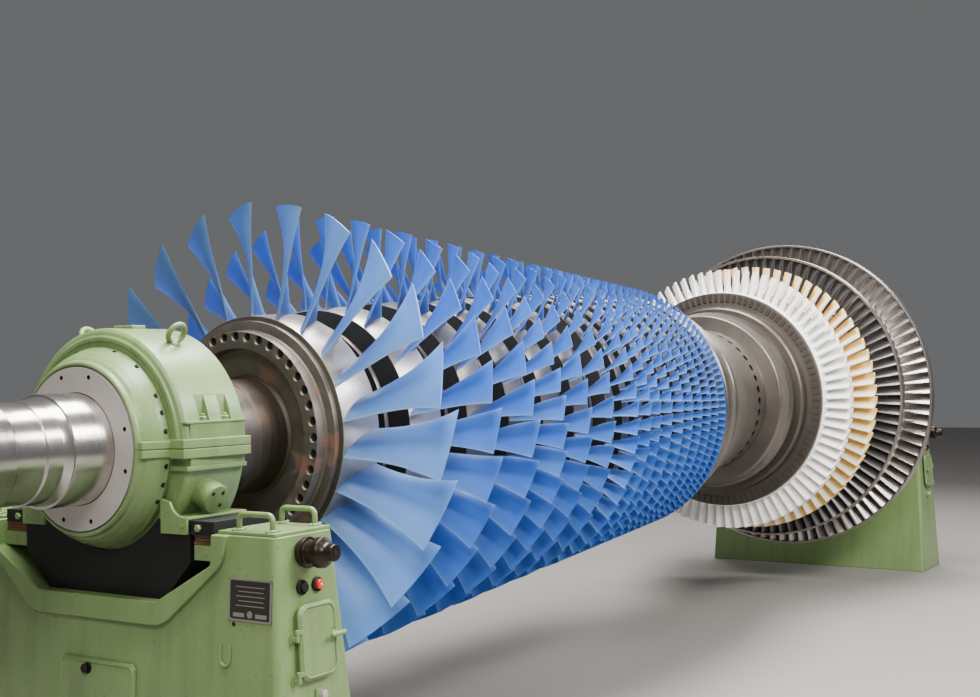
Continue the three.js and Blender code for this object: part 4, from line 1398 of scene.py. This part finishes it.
casting = loft("casting", [casting_section(0.0), casting_section(TOWER_TOP)])
band = valley(NOTCH_RIM, 0.0, RIM_EASE)
rim = loft("notch_rim", [[(front_face(z) + depth, y, z) for y, z in band] for depth in (-RIM_PROUD, CORNER)])
cut(casting, rim, "UNION")
cut(casting, slab("notch", valley(NOTCH, 0.1, NOTCH_EASE), -1.0, 1.0, ALONG))
edged(casting, 0.006)
print("casting faces:", len(casting.data.polygons), "volume", round(volume(casting), 3), "m3")

# %% [markdown]
# ## Fittings on the casting
#
# Blocks bolted inside the notch carry the cradle on rusty steel packing, which the fitters change
# to set the height. On the operator's side are the lower hinge knuckles, the bezels of the two
# push buttons, a boss for the jack spindle and a small cable gland, and on the front a cast-on hook.

# %% Support blocks and packing
LUG_LOW = 1.308
SUPPORT = {"front": -0.175, "rear": 0.120, "inner": 0.517, "outer": 0.675, "low": 1.205, "high": 1.267}
PACKING = {"front": -0.168, "rear": 0.110, "inner": 0.510, "outer": 0.668, "sheets": 3, "stagger": 0.004}
SHEET_GAP = 0.001


def support_block(sign):
    low = (SUPPORT["front"], sign * SUPPORT["inner"], SUPPORT["low"])
    return brick("support_block", low, (SUPPORT["rear"], sign * SUPPORT["outer"], SUPPORT["high"]))


def packing(sign):
    sheets = []
    pitch = (LUG_LOW - SUPPORT["high"]) / PACKING["sheets"]
    for sheet in range(PACKING["sheets"]):
        base = SUPPORT["high"] + sheet * pitch
        inset = PACKING["stagger"] * (sheet % 2)
        low = (PACKING["front"] + inset, sign * (PACKING["inner"] + inset), base)
        high = (PACKING["rear"], sign * PACKING["outer"], base + pitch - SHEET_GAP)
        sheets.append(brick("packing_sheet", low, high, RUSTY_STEEL, 0.0015))
    return joined("packing", *sheets)


# %% Side and front fittings
BUTTONS = {}
for colour in ("black", "red"):
    BUTTON_LOW, BUTTON_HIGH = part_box(f"near_{colour}_button")
    BUTTONS[colour] = (BUTTON_LOW.x + BUTTON_HIGH.x) / 2 - CENTRES["near"]
BUTTON_HEIGHT = 1.116
SPINDLE = (-0.045, 1.248)
HINGE_X = -0.136
HINGE_OUT = 0.028
HINGE_HEIGHTS = (0.780, 0.940)
HINGE_RADIUS = 0.009
KNUCKLE = 0.024
KNUCKLE_EASE = (0.002, 0.85)
ARM_PLACE = 0.55
HOOK = {"y": -0.732, "z": 0.861, "half": 0.0245, "low": -0.020, "high": 0.038, "out": 0.004, "bar": 0.007}
GLAND = (0.009, 0.691)
DRILL_HOLE = (-0.771, 0.981)
BLOCK_BOLT = (0.585, 1.236)
ROOT = -0.002


def screw(name, frame, radius=0.008, proud=0.004, material=GREEN):
    """A small domed screw head standing on a frame."""
    profile = [(-0.004, radius), (proud * 0.6, radius), (proud, radius * 0.7)]
    return knob(name, profile, frame, material, 12)


def knuckle(name, height, low, high):
    frame = side_wall(HINGE_X, height) @ Matrix.Translation((0, 0, HINGE_OUT))
    upright = frame @ Matrix.Rotation(-math.pi / 2, 4, "X")
    ease, share = KNUCKLE_EASE
    end = HINGE_RADIUS * share
    profile = [(low, end), (low + ease, HINGE_RADIUS), (high - ease, HINGE_RADIUS), (high, end)]
    return knob(name, profile, upright, sides=14)


def hinge_arm(height):
    frame = side_wall(HINGE_X, height - KNUCKLE * ARM_PLACE)
    arm = slab("hinge_arm", rounded(0.014, KNUCKLE * 0.8, 0.003, 2), ROOT, HINGE_OUT, frame)
    foot = slab("hinge_foot", rounded(0.034, KNUCKLE * 1.4, 0.005, 2), ROOT, 0.006, frame)
    return joined("hinge_arm", arm, edged(foot, 0.002, 2))


def bezel(x):
    profile = [(-0.004, 0.029), (0.011, 0.029), (0.014, 0.026), (0.014, 0.0235), (0.0005, 0.0215)]
    return knob("bezel", profile, side_wall(x, BUTTON_HEIGHT), BLACK_IRON, 28)


def cast_hook():
    """A U of round bar, let into the front face."""
    frame = front_wall(HOOK["y"], HOOK["z"])
    half = HOOK["half"]
    turns = np.linspace(math.pi, FULL_TURN, 9)
    arch = [(half * math.cos(turn), HOOK["low"] + half * math.sin(turn)) for turn in turns]
    path = [(-half, HOOK["high"]), *arch, (half, HOOK["high"])]
    return rod("cast_hook", [frame @ Vector((x, y, HOOK["out"])) for x, y in path], HOOK["bar"], 10)


fittings = [support_block(-1), support_block(1), cast_hook()]
fittings += [bezel(x) for x in BUTTONS.values()]
for height in HINGE_HEIGHTS:
    fittings += [knuckle("lower_knuckle", height, -KNUCKLE, -FACE_GAP), hinge_arm(height)]
gland_plate = slab("gland_plate", rounded(0.062, 0.050, 0.006, 3), ROOT, 0.010, side_wall(*GLAND))
fittings += [
    knob("spindle_boss", [(-0.005, 0.052), (0.012, 0.052)], side_wall(*SPINDLE), BLACK_IRON, 32),
    edged(gland_plate, 0.002, 2),
    knob("cable_gland", [(0.0, 0.017), (0.028, 0.017), (0.032, 0.013)], side_wall(*GLAND), SEAL),
    # Painted shade: a thin black disc stands for the drill hole.
    knob("drill_hole_painted_shade", [(ROOT, 0.009), (0.0008, 0.009)], front_wall(*DRILL_HOLE), SHADE_AND_SCREW_BLACK, 14),
]
for sign in (-1, 1):
    frame = facing_front(SUPPORT["front"], sign * BLOCK_BOLT[0], BLOCK_BOLT[1])
    fittings.append(screw("block_bolt", frame, 0.010))
stand(joined("casting", casting, *fittings), "green_enamel", "left_tower", "right_tower", "sill")
stand(joined("packing_sheets", packing(-1), packing(1)), "machined_steel")
print("fittings:", len(fittings))

# %% [markdown]
# ## Top plates and handles
#
# A thin plate closes each tower and carries two grab handles, bent from round bar on screwed feet.
# The bar follows a path whose corners are rounded in the same way as a lathe profile's.

# %% Top plates
PLATE_HIGH = TOWER_TOP + 0.0143
HANDLE_PLACES = (-0.150, 0.095)
HANDLE = {"middle": 0.832, "leg": 0.088, "radius": 0.0115, "top": 1.3988, "bend": 0.034, "screw": 0.031}
TOP_PLATE = {"inner": 0.668, "outer": 0.968, "inset": 0.008}


def grab_handle(x, middle):
    ends = (middle - HANDLE["leg"], middle + HANDLE["leg"])
    heights = (PLATE_HIGH, HANDLE["top"])
    corners = [(x, ends[0], z) for z in heights] + [(x, ends[1], z) for z in reversed(heights)]
    parts = [rod("handle_bar", softened(corners, HANDLE["bend"], 6), HANDLE["radius"], 14)]
    for end in ends:
        frame = Matrix.Translation((x, end, PLATE_HIGH))
        parts.append(knob("handle_foot", [(-0.001, 0.023), (0.006, 0.023), (0.009, 0.019)], frame))
        for offset in (-HANDLE["screw"], HANDLE["screw"]):
            parts.append(screw("foot_screw", frame @ Matrix.Translation((offset, 0, 0)), 0.009, 0.010))
    return joined("grab_handle", *parts)


def top_plate(sign, short):
    low = (TOP_FRONT + TOP_PLATE["inset"], sign * TOP_PLATE["inner"], TOWER_TOP + FACE_GAP)
    high = (TOP_REAR - TOP_PLATE["inset"], sign * TOP_PLATE["outer"], PLATE_HIGH)
    handles = [grab_handle(x, sign * HANDLE["middle"]) for x in HANDLE_PLACES]
    stand(joined(short, brick("plate", low, high, edge=0.003), *handles), "green_enamel", short)


top_plate(1, "left_top_plate")
top_plate(-1, "right_top_plate")
print("handles:", 4 * len(HANDLE_PLACES))

# %% [markdown]
# ## Cradle
#
# A black fabricated saddle spans the notch. Its lugs lie on the packing and its round pocket takes
# the lower half of the housing. An outline cut by a cylinder gives exactly that.

# %% Cradle
LUG = {"low": LUG_LOW, "high": 1.364, "reach": 0.640}
CRADLE_FRONT = -0.185
CRADLE_REAR = 0.150
CRADLE_WAIST = 0.505
POCKET_RADIUS = 0.516
WEB_POCKET = 0.432
WEB_REAR = -0.176
LUG_BOLT = (0.556, 1.336)

lug = [(LUG["reach"], LUG["low"]), (LUG["reach"], LUG["high"]), (POCKET_RADIUS * 0.8, LUG["high"])]
web = [(0.355, NOTCH_FLOOR + FACE_GAP), (CRADLE_WAIST, 1.195), (CRADLE_WAIST, LUG["low"])]
cradle = slab("cradle", both_sides([*web, *lug]), CRADLE_FRONT, CRADLE_REAR, ALONG, BLACK_IRON)
pocket_profile = [(-1.0, WEB_POCKET), (WEB_REAR, WEB_POCKET), (WEB_REAR, POCKET_RADIUS), (1.0, POCKET_RADIUS)]
pocket = drum_part("pocket", pocket_profile, (1, 0, 0), BLACK_IRON, 96)
cut(cradle, shifted(pocket, (0, 0, AXIS)))
edged(cradle, 0.005)
lug_bolts = []
for sign in (-1, 1):
    frame = facing_front(CRADLE_FRONT, sign * LUG_BOLT[0], LUG_BOLT[1])
    lug_bolts.append(knob("lug_bolt", [(ROOT, 0.016), (0.010, 0.016), (0.013, 0.013)], frame, sides=6))
stand(joined("cradle", cradle, *lug_bolts), "black_paint", "cradle")

# %% [markdown]
# ## Bearing housing
#
# The housing is split on the rotor's axis so that the cap lifts off. Both halves come from one
# turned profile, cut in two: a ring with a soft shoulder in front, then the body, which is fuller
# in the cap. Bolted ledges run along the split, and flat pockets over them make room for the nuts.

# %% Housing halves
RING_RADIUS = 0.420
HOUSING_RADIUS = 0.500
BODY_RADIUS = 0.488
HOUSING_FRONT = -0.323
HOUSING_REAR = 0.163
PLATE_SEAT = -0.301
PLATE_RADIUS = 0.340
BORE = 0.240
SPLIT_GAP = 0.0008
LOWER_FRONT = -0.172
HOUSING_SIDES = 144


def housing_half(name, body_radius, upper):
    profile = [
        (PLATE_SEAT, BORE), (PLATE_SEAT, PLATE_RADIUS), (HOUSING_FRONT + 0.004, PLATE_RADIUS + 0.004),
        (HOUSING_FRONT, PLATE_RADIUS + 0.010), (-0.320, 0.358), (-0.311, 0.364), (-0.302, 0.366),
        (-0.290, 0.378), (-0.262, 0.396), (-0.234, 0.409), (-0.214, 0.416), (-0.206, RING_RADIUS),
        (-0.200, RING_RADIUS), (-0.200, 0.412), (-0.196, 0.412),
    ]
    if upper:
        profile += [
            (-0.196, 0.440), (-0.202, 0.446), (-0.202, 0.462), (-0.194, 0.470), (-0.190, 0.484),
            (-0.180, 0.496), (-0.168, body_radius),
        ]
    else:
        profile += [
            (LOWER_FRONT, 0.412), (LOWER_FRONT, body_radius - 0.008), (LOWER_FRONT + 0.008, body_radius),
        ]
    profile += [
        (HOUSING_REAR - 0.016, body_radius), (HOUSING_REAR, body_radius - 0.014), (HOUSING_REAR, 0.330),
        (HOUSING_REAR - 0.012, 0.320), (HOUSING_REAR - 0.012, BORE), (PLATE_SEAT, BORE),
    ]
    half = lathe(name, profile, [GREEN], sides=HOUSING_SIDES)
    low, high = (-1.0, SPLIT_GAP / 2) if upper else (-SPLIT_GAP / 2, 1.0)
    outline = [(-1, AXIS + low), (1, AXIS + low), (1, AXIS + high), (-1, AXIS + high)]
    return cut(half, slab("other_half", outline, -1.0, 1.0, ALONG))


# %% Ledges, feet and bolts
LEDGE_SIZES = ("front", "rear", "reach", "nose", "above", "below")
SPLIT_FLANGE = dict(zip(LEDGE_SIZES, (-0.209, 0.145, 0.535, 0.505, 0.038, -0.040)))
RING_LEDGE = dict(zip(LEDGE_SIZES, (-0.316, -0.206, 0.432, 0.384, 0.033, -0.034)))
SIDE_BLOCK = dict(zip(LEDGE_SIZES, (-0.166, 0.142, 0.501, 0.501, 0.102, -0.074)))
LIP = dict(zip(LEDGE_SIZES, (-0.190, 0.147, 0.507, 0.505, 0.109, -0.091)))
BLOCK_START = 0.030
LIP_THICKNESS = {"above": 0.011, "below": 0.019}
LEDGE_CORE = 0.340
POCKETS = (-0.075, 0.050)
POCKET_WALL = 0.452
POCKET_HALF = 0.027
POCKET_TOP = 0.3
POCKET_BOLT = 0.476


def ledge(shape, sign, low, high, edge=0.004):
    """A block out to its reach at the rear, and to its nose at the front."""
    ends = []
    for x, reach in ((shape["front"], shape["nose"]), (shape["rear"], shape["reach"])):
        near, far = sorted((sign * LEDGE_CORE, sign * reach))
        corners = ((near, low), (far, low), (far, high), (near, high))
        ends.append([(x, y, AXIS + up) for y, up in corners])
    return edged(loft("ledge", ends), edge)


def cap_side(sign):
    parts = [
        ledge(SPLIT_FLANGE, sign, SPLIT_GAP, SPLIT_FLANGE["above"]),
        ledge(RING_LEDGE, sign, SPLIT_GAP, RING_LEDGE["above"]),
        ledge(SIDE_BLOCK, sign, BLOCK_START, SIDE_BLOCK["above"]),
        ledge(LIP, sign, LIP["above"] - LIP_THICKNESS["above"], LIP["above"], 0.003),
    ]
    for x in POCKETS:
        frame = Matrix.Translation((x, sign * POCKET_BOLT, AXIS + LIP["above"]))
        parts.append(knob("nut", [(ROOT, 0.019), (0.015, 0.019), (0.018, 0.015)], frame, sides=6))
        parts.append(knob("stud", [(0.010, 0.010), (0.026, 0.010), (0.028, 0.008)], frame, sides=12))
    return parts


def lower_side(sign):
    return [
        ledge(SPLIT_FLANGE, sign, SPLIT_FLANGE["below"], -SPLIT_GAP),
        ledge(RING_LEDGE, sign, RING_LEDGE["below"], -SPLIT_GAP),
        ledge(SIDE_BLOCK, sign, SIDE_BLOCK["below"], -BLOCK_START),
        ledge(LIP, sign, LIP["below"], LIP["below"] + LIP_THICKNESS["below"], 0.003),
    ]


FOOT = {"front": -0.205, "split": -0.190, "rear": 0.140, "inner": 0.360, "outer": 0.507, "high": 1.377}
FOOT_CURVE = [(0.490, 1.377), (0.462, 1.383), (0.440, 1.395), (0.424, 1.413), (0.414, 1.436), (0.360, 1.450)]
FOOT_BOLT = (0.480, 1.342)


def foot(sign):
    outline = [(FOOT["inner"], LUG_LOW), (FOOT["outer"], LUG_LOW), (FOOT["outer"], FOOT["high"]), *FOOT_CURVE]
    lug = slab("foot_lug", [(sign * y, z) for y, z in outline], FOOT["front"], FOOT["split"], ALONG)
    low = (FOOT["split"] - 0.01, sign * FOOT["inner"], LUG["high"] + FACE_GAP)
    strip = brick("foot_strip", low, (FOOT["rear"], sign * FOOT["outer"], FOOT["high"]))
    bolt_frame = facing_front(FOOT["front"], sign * FOOT_BOLT[0], FOOT_BOLT[1])
    return [edged(lug, 0.003), strip, screw("foot_screw", bolt_frame, 0.010)]


# %% Ring screws, eyes and boss
RING_SCREWS = [-31.0, -20.5, -9.8, 9.8, 20.5, 31.0, 53.5, 73.5]
RING_SCREW_X = -0.212
EYE = {"x": -0.015, "lean": math.radians(30), "centre": 0.544, "ring": 0.042, "wire": 0.0122, "root": 0.468}
PAD = {"front": -0.067, "rear": 0.010, "half": 0.060, "root": AXIS + 0.44, "top": AXIS + 0.513}
EYE_STEPS = 28
OIL_BOSS = {
    "x": -0.045, "radius": 0.064, "root": 0.440, "face": 0.561, "down": math.radians(22.5), "ease": 0.005,
}
BOSS_SCREW = 0.027


def radial_frame(x, angle, radius):
    """A frame on a cylinder round the rotor's axis, at an angle from the operator's side upwards."""
    out = Vector((0, -math.cos(angle), math.sin(angle)))
    frame = wall_frame((x, 0, AXIS), (1, 0, 0), out.cross(Vector((1, 0, 0))))
    return frame @ Matrix.Translation((0, 0, radius))


def ring_screws(upper):
    angles = [angle for angle in RING_SCREWS if (angle > 0) == upper]
    angles += [180 - angle for angle in angles]
    profile = [(-0.004, 0.0110), (0.0012, 0.0110), (0.002, 0.0095)]
    frames = [radial_frame(RING_SCREW_X, math.radians(angle), RING_RADIUS - 0.003) for angle in angles]
    return [knob("ring_screw", profile, frame, SHADE_AND_SCREW_BLACK, 12) for frame in frames]


def lifting_eye(sign):
    frame = radial_frame(EYE["x"], math.pi / 2 + sign * EYE["lean"], 0.0)
    loop = []
    for step in range(EYE_STEPS):
        turn = FULL_TURN * step / EYE_STEPS
        height = EYE["centre"] + EYE["ring"] * math.sin(turn)
        loop.append(frame @ Vector((EYE["ring"] * math.cos(turn), 0, height)))
    profile = [(EYE["root"], 0.026), (0.503, 0.026), (0.507, 0.022), (0.511, 0.014)]
    return [rod("eye_loop", loop, EYE["wire"], 12, closed=True), knob("eye_collar", profile, frame)]


def oil_boss():
    frame = radial_frame(OIL_BOSS["x"], -OIL_BOSS["down"], 0.0)
    face, radius, ease = OIL_BOSS["face"], OIL_BOSS["radius"], OIL_BOSS["ease"]
    profile = [(OIL_BOSS["root"], radius), (face - ease, radius), (face, radius - ease)]
    parts = [knob("oil_boss", profile, frame, sides=36)]
    for across, up in ((-1, 1), (1, 1), (1, -1)):
        seat = frame @ Matrix.Translation((BOSS_SCREW * across, BOSS_SCREW * up, face))
        parts.append(knob("boss_screw", [(ROOT, 0.009), (0.0012, 0.009), (0.002, 0.008)], seat, SHADE_AND_SCREW_BLACK, 12))
    return parts


# %% Bearing cap and lower half
cap = housing_half("bearing_cap", HOUSING_RADIUS, True)
for sign in (-1, 1):
    for x in POCKETS:
        low, high = sorted((sign * POCKET_WALL, sign))
        floor, sky = AXIS + LIP["above"], AXIS + POCKET_TOP
        outline = [(low, floor), (high, floor), (high, sky), (low, sky)]
        cut(cap, slab("pocket", outline, x - POCKET_HALF, x + POCKET_HALF, ALONG))
smoothed(cap)
pad_low = (PAD["front"], -PAD["half"], PAD["root"])
pad = brick("pad", pad_low, (PAD["rear"], PAD["half"], PAD["top"]), edge=0.005)
cap_parts = [pad, *cap_side(-1), *cap_side(1), *ring_screws(True), *lifting_eye(-1), *lifting_eye(1)]
stand(joined("bearing_cap", cap, *cap_parts), "green_enamel", "bearing_cap")

lower = smoothed(housing_half("bearing_lower", BODY_RADIUS, False))
lower_parts = [*lower_side(-1), *lower_side(1), *foot(-1), *foot(1), *ring_screws(False), *oil_boss()]
stand(joined("bearing_lower", lower, *lower_parts), "green_enamel", "bearing_lower")
print("housing parts:", len(cap_parts) + len(lower_parts))

# %% [markdown]
# ## Seal plate
#
# A turned steel plate closes the housing round the shaft. Its eight jacking holes come in pairs, so
# the ring of cutters is laid out twice, a little either side of each quarter.

# %% Seal plate
PLATE_FACE = HOUSING_FRONT - 0.001
PLATE_BACK = PLATE_SEAT - FACE_GAP
PLATE_EDGE = PLATE_RADIUS - 0.0015
PLATE_BORE = 0.2335
PAIR_ANGLE = math.radians(16)
QUARTERS = 4
HOLE_CIRCLE = 0.306

seal_plate = lathe(
    "seal_plate",
    [
        (PLATE_FACE, PLATE_BORE), (PLATE_FACE, PLATE_EDGE), (PLATE_BACK, PLATE_EDGE),
        (PLATE_BACK, PLATE_BORE), (PLATE_FACE, PLATE_BORE),
    ],
    [SEAL],
    sides=DISC_SIDES,
    edge=0.002,
)
# Painted shade: the holes' walls take the black of the cutters.
for pair_side in (-1, 1):
    jack_hole = drum_part("jack_hole", [(-0.01, 0.010), (0.012, 0.010)], (1, 0, 0), SHADE_AND_SCREW_BLACK, sides=12)
    shifted(jack_hole, (PLATE_FACE, -HOLE_CIRCLE, 0))
    cut(seal_plate, ring_of(jack_hole, QUARTERS, SHADE_AND_SCREW_BLACK, pair_side * PAIR_ANGLE))
stand(smoothed(seal_plate), "machined_steel", "seal_plate")

# %% [markdown]
# ## Door, hatch, name plate and controls
#
# The door is a pressed cover with a rolled edge, hung on two lift-off hinges and held by a T-handle.
# The name plate is left blank: a dark plate with a bright border, ruled fields and no lettering.

# %% Door
DOOR_LOW, DOOR_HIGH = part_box("near_side_door")
DOOR = {
    "left": -0.120, "right": 0.096, "bottom": 0.758, "top": 1.052, "standoff": 0.012, "face": 0.030,
    "corner": 0.045,
}
T_HANDLE = (0.074, 0.917)
T_BAR = {"start": -0.044, "height": 0.056}
STRAP = {"x": 0.017, "below": 0.005, "above": 0.006}
BEAD_INSET = 0.012
BEAD_RADIUS = 0.0055


def bead(frame, width, height, corner, lift):
    """A raised line a little inside the edge of a pressed cover."""
    outline = rounded(width - 2 * BEAD_INSET, height - 2 * BEAD_INSET, corner - BEAD_INSET / 2, 6)
    return rod("bead", [frame @ Vector((x, y, lift)) for x, y in outline], BEAD_RADIUS, 8, closed=True)


def side_door():
    width = DOOR["right"] - DOOR["left"]
    height = DOOR["top"] - DOOR["bottom"]
    middle = side_wall((DOOR["left"] + DOOR["right"]) / 2, (DOOR["bottom"] + DOOR["top"]) / 2)
    leaf = slab("leaf", rounded(width, height, DOOR["corner"], 7), DOOR["standoff"], DOOR["face"], middle)
    parts = [edged(leaf, 0.007, 4), bead(middle, width, height, DOOR["corner"], DOOR["face"])]
    for place in HINGE_HEIGHTS:
        frame = side_wall(HINGE_X + STRAP["x"], place + KNUCKLE * ARM_PLACE)
        low, high = HINGE_OUT - STRAP["below"], HINGE_OUT + STRAP["above"]
        strap = slab("strap", rounded(0.034, 0.016, 0.003, 2), low, high, frame)
        parts += [knuckle("upper_knuckle", place, FACE_GAP, KNUCKLE), strap]
    frame = side_wall(*T_HANDLE)
    parts.append(knob("stem", [(0.028, 0.014), (0.033, 0.014), (0.036, 0.010), (0.058, 0.010)], frame))
    start = Matrix.Translation((T_BAR["start"], 0, T_BAR["height"]))
    bar = frame @ start @ Matrix.Rotation(math.pi / 2, 4, "Y")
    grip = [(0.0, 0.005), (0.004, 0.009), (0.012, 0.0095), (0.076, 0.0095), (0.084, 0.009), (0.088, 0.005)]
    parts.append(knob("t_bar", grip, bar, sides=16))
    return joined("side_door", *parts)


stand(side_door(), "green_enamel", "side_door", body="side_door")
print("door measures", [round(high - low, 3) for low, high in zip(DOOR_LOW, DOOR_HIGH)])

# %% Hatch cover
HATCH = {"middle": -0.012, "half": 0.228, "low": 0.330, "high": 0.772, "thick": 0.016, "corner": 0.030}
LATCH = (0.041, 0.732)


def hatch_cover():
    frame = front_wall(HATCH["middle"], (HATCH["low"] + HATCH["high"]) / 2)
    width, tall = 2 * HATCH["half"], HATCH["high"] - HATCH["low"]
    corner, thick = HATCH["corner"], HATCH["thick"]
    cover = slab("cover", rounded(width, tall, corner), FACE_GAP, thick, frame)
    seat = front_wall(*LATCH) @ Matrix.Translation((0, 0, thick))
    grip = [(0.0, 0.013), (0.010, 0.013), (0.014, 0.019), (0.022, 0.019), (0.026, 0.014)]
    parts = [
        edged(cover, 0.006),
        bead(frame, width, tall, corner, thick),
        # Painted shade: a black ring round the knob stands for the dark hole it sits in.
        knob("latch_hole_painted_shade", [(ROOT, 0.024), (0.004, 0.024), (0.006, 0.021)], seat, BLACK_IRON),
        knob("latch_knob", grip, seat, OILED_STEEL),
    ]
    return joined("hatch_cover", *parts)


stand(hatch_cover(), "green_enamel", "hatch_cover")

# %% Name plate
NAME_PLATE = {"middle": -0.856, "height": 1.077, "width": 0.222, "tall": 0.164, "thick": 0.003}
BORDER = 0.008
RULES = {"places": [0.050, 0.032, 0.014, -0.004, -0.022], "long": 0.150, "shorter": 0.018, "shift": 0.004}
FIELD = {"across": 0.058, "down": -0.058, "width": 0.058, "height": 0.016}
PIN_INSET = 0.009
RELIEF = {"border": 0.002, "rule": 0.0006, "field": 0.0008}
RULE_TALL = 0.0035
ROUND_FIELD_DOWN = -0.054


def name_plate():
    frame = front_wall(NAME_PLATE["middle"], NAME_PLATE["height"])
    width, tall, thick = NAME_PLATE["width"], NAME_PLATE["tall"], NAME_PLATE["thick"]

    def flat(name, centre, size, height, material):
        place = frame @ Matrix.Translation((*centre, 0))
        return slab(name, rounded(*size, 0.0015, 2), FACE_GAP, height, place, material)

    parts = [flat("plate", (0, 0), (width, tall), thick, PLATE_GREY)]
    for sign in (-1, 1):
        level_bar = ((0, sign * (tall - BORDER) / 2), (width, BORDER))
        upright_bar = ((sign * (width - BORDER) / 2, 0), (BORDER, tall))
        for place, size in (level_bar, upright_bar):
            parts.append(flat("border", place, size, thick + RELIEF["border"], PLATE_BRIGHT))
    for row, height in enumerate(RULES["places"]):
        odd = row % 2
        size = (RULES["long"] - RULES["shorter"] * odd, RULE_TALL)
        place = (RULES["shift"] * odd, height)
        parts.append(flat("rule", place, size, thick + RELIEF["rule"], PLATE_BRIGHT))
    for sign in (-1, 1):
        place, size = (sign * FIELD["across"], FIELD["down"]), (FIELD["width"], FIELD["height"])
        parts.append(flat("field", place, size, thick + RELIEF["field"], PLATE_BRIGHT))
    round_frame = frame @ Matrix.Translation((0, ROUND_FIELD_DOWN, 0))
    parts.append(knob("round_field", [(0.0, 0.014), (0.0045, 0.014)], round_frame, PLATE_BRIGHT))
    for across in (-1, 1):
        for up in (-1, 1):
            place = (across * (width / 2 - PIN_INSET), up * (tall / 2 - PIN_INSET), thick)
            parts.append(screw("plate_pin", frame @ Matrix.Translation(place), 0.003, 0.002, PLATE_BRIGHT))
    return joined("name_plate", *parts)


stand(name_plate(), "dark_name_plate", "name_plate")

# %% Spindle and buttons
spindle_profile = [
    (0.0123, 0.056), (0.016, 0.061), (0.030, 0.062), (0.034, 0.060), (0.036, 0.050), (0.040, 0.046),
    (0.070, 0.045), (0.074, 0.049), (0.076, 0.056), (0.080, 0.060), (0.104, 0.060), (0.109, 0.057),
    (0.116, 0.049), (0.124, 0.041), (0.132, 0.036), (0.140, 0.034), (0.158, 0.034), (0.163, 0.031),
    (0.1645, 0.024),
]
spindle = knob("jack_spindle", spindle_profile, side_wall(*SPINDLE), OILED_STEEL, 40)
# Painted shade: a thin black disc stands for the centre hole.
centre_hole_painted_shade = knob("centre_hole_painted_shade", [(0.1640, 0.009), (0.1652, 0.009)], side_wall(*SPINDLE), SHADE_AND_SCREW_BLACK, 14)
stand(joined("jack_spindle", spindle, centre_hole_painted_shade), "black_paint", "jack_spindle", body="jack_spindle")

button_profile = [(0.006, 0.0202), (0.020, 0.0202), (0.024, 0.0190), (0.0265, 0.0150), (0.0278, 0.0080)]
lens_profile = [(0.0270, 0.0062), (0.0286, 0.0052), (0.0292, 0.0030)]
for colour, finish, slot in (("black", BLACK_IRON, "black_paint"), ("red", RED, "red_plastic")):
    name = f"{colour}_button"
    frame = side_wall(BUTTONS[colour], BUTTON_HEIGHT)
    button = knob(name, button_profile, frame, finish, 28)
    if colour == "red":
        # Painted glow: the red button's pale lens stands in for a lit lamp.
        button = joined(name, button, knob("lens_painted_glow_dot", lens_profile, frame, LENS_PAINTED_GLOW, 12))
    stand(button, slot, name, body=name)
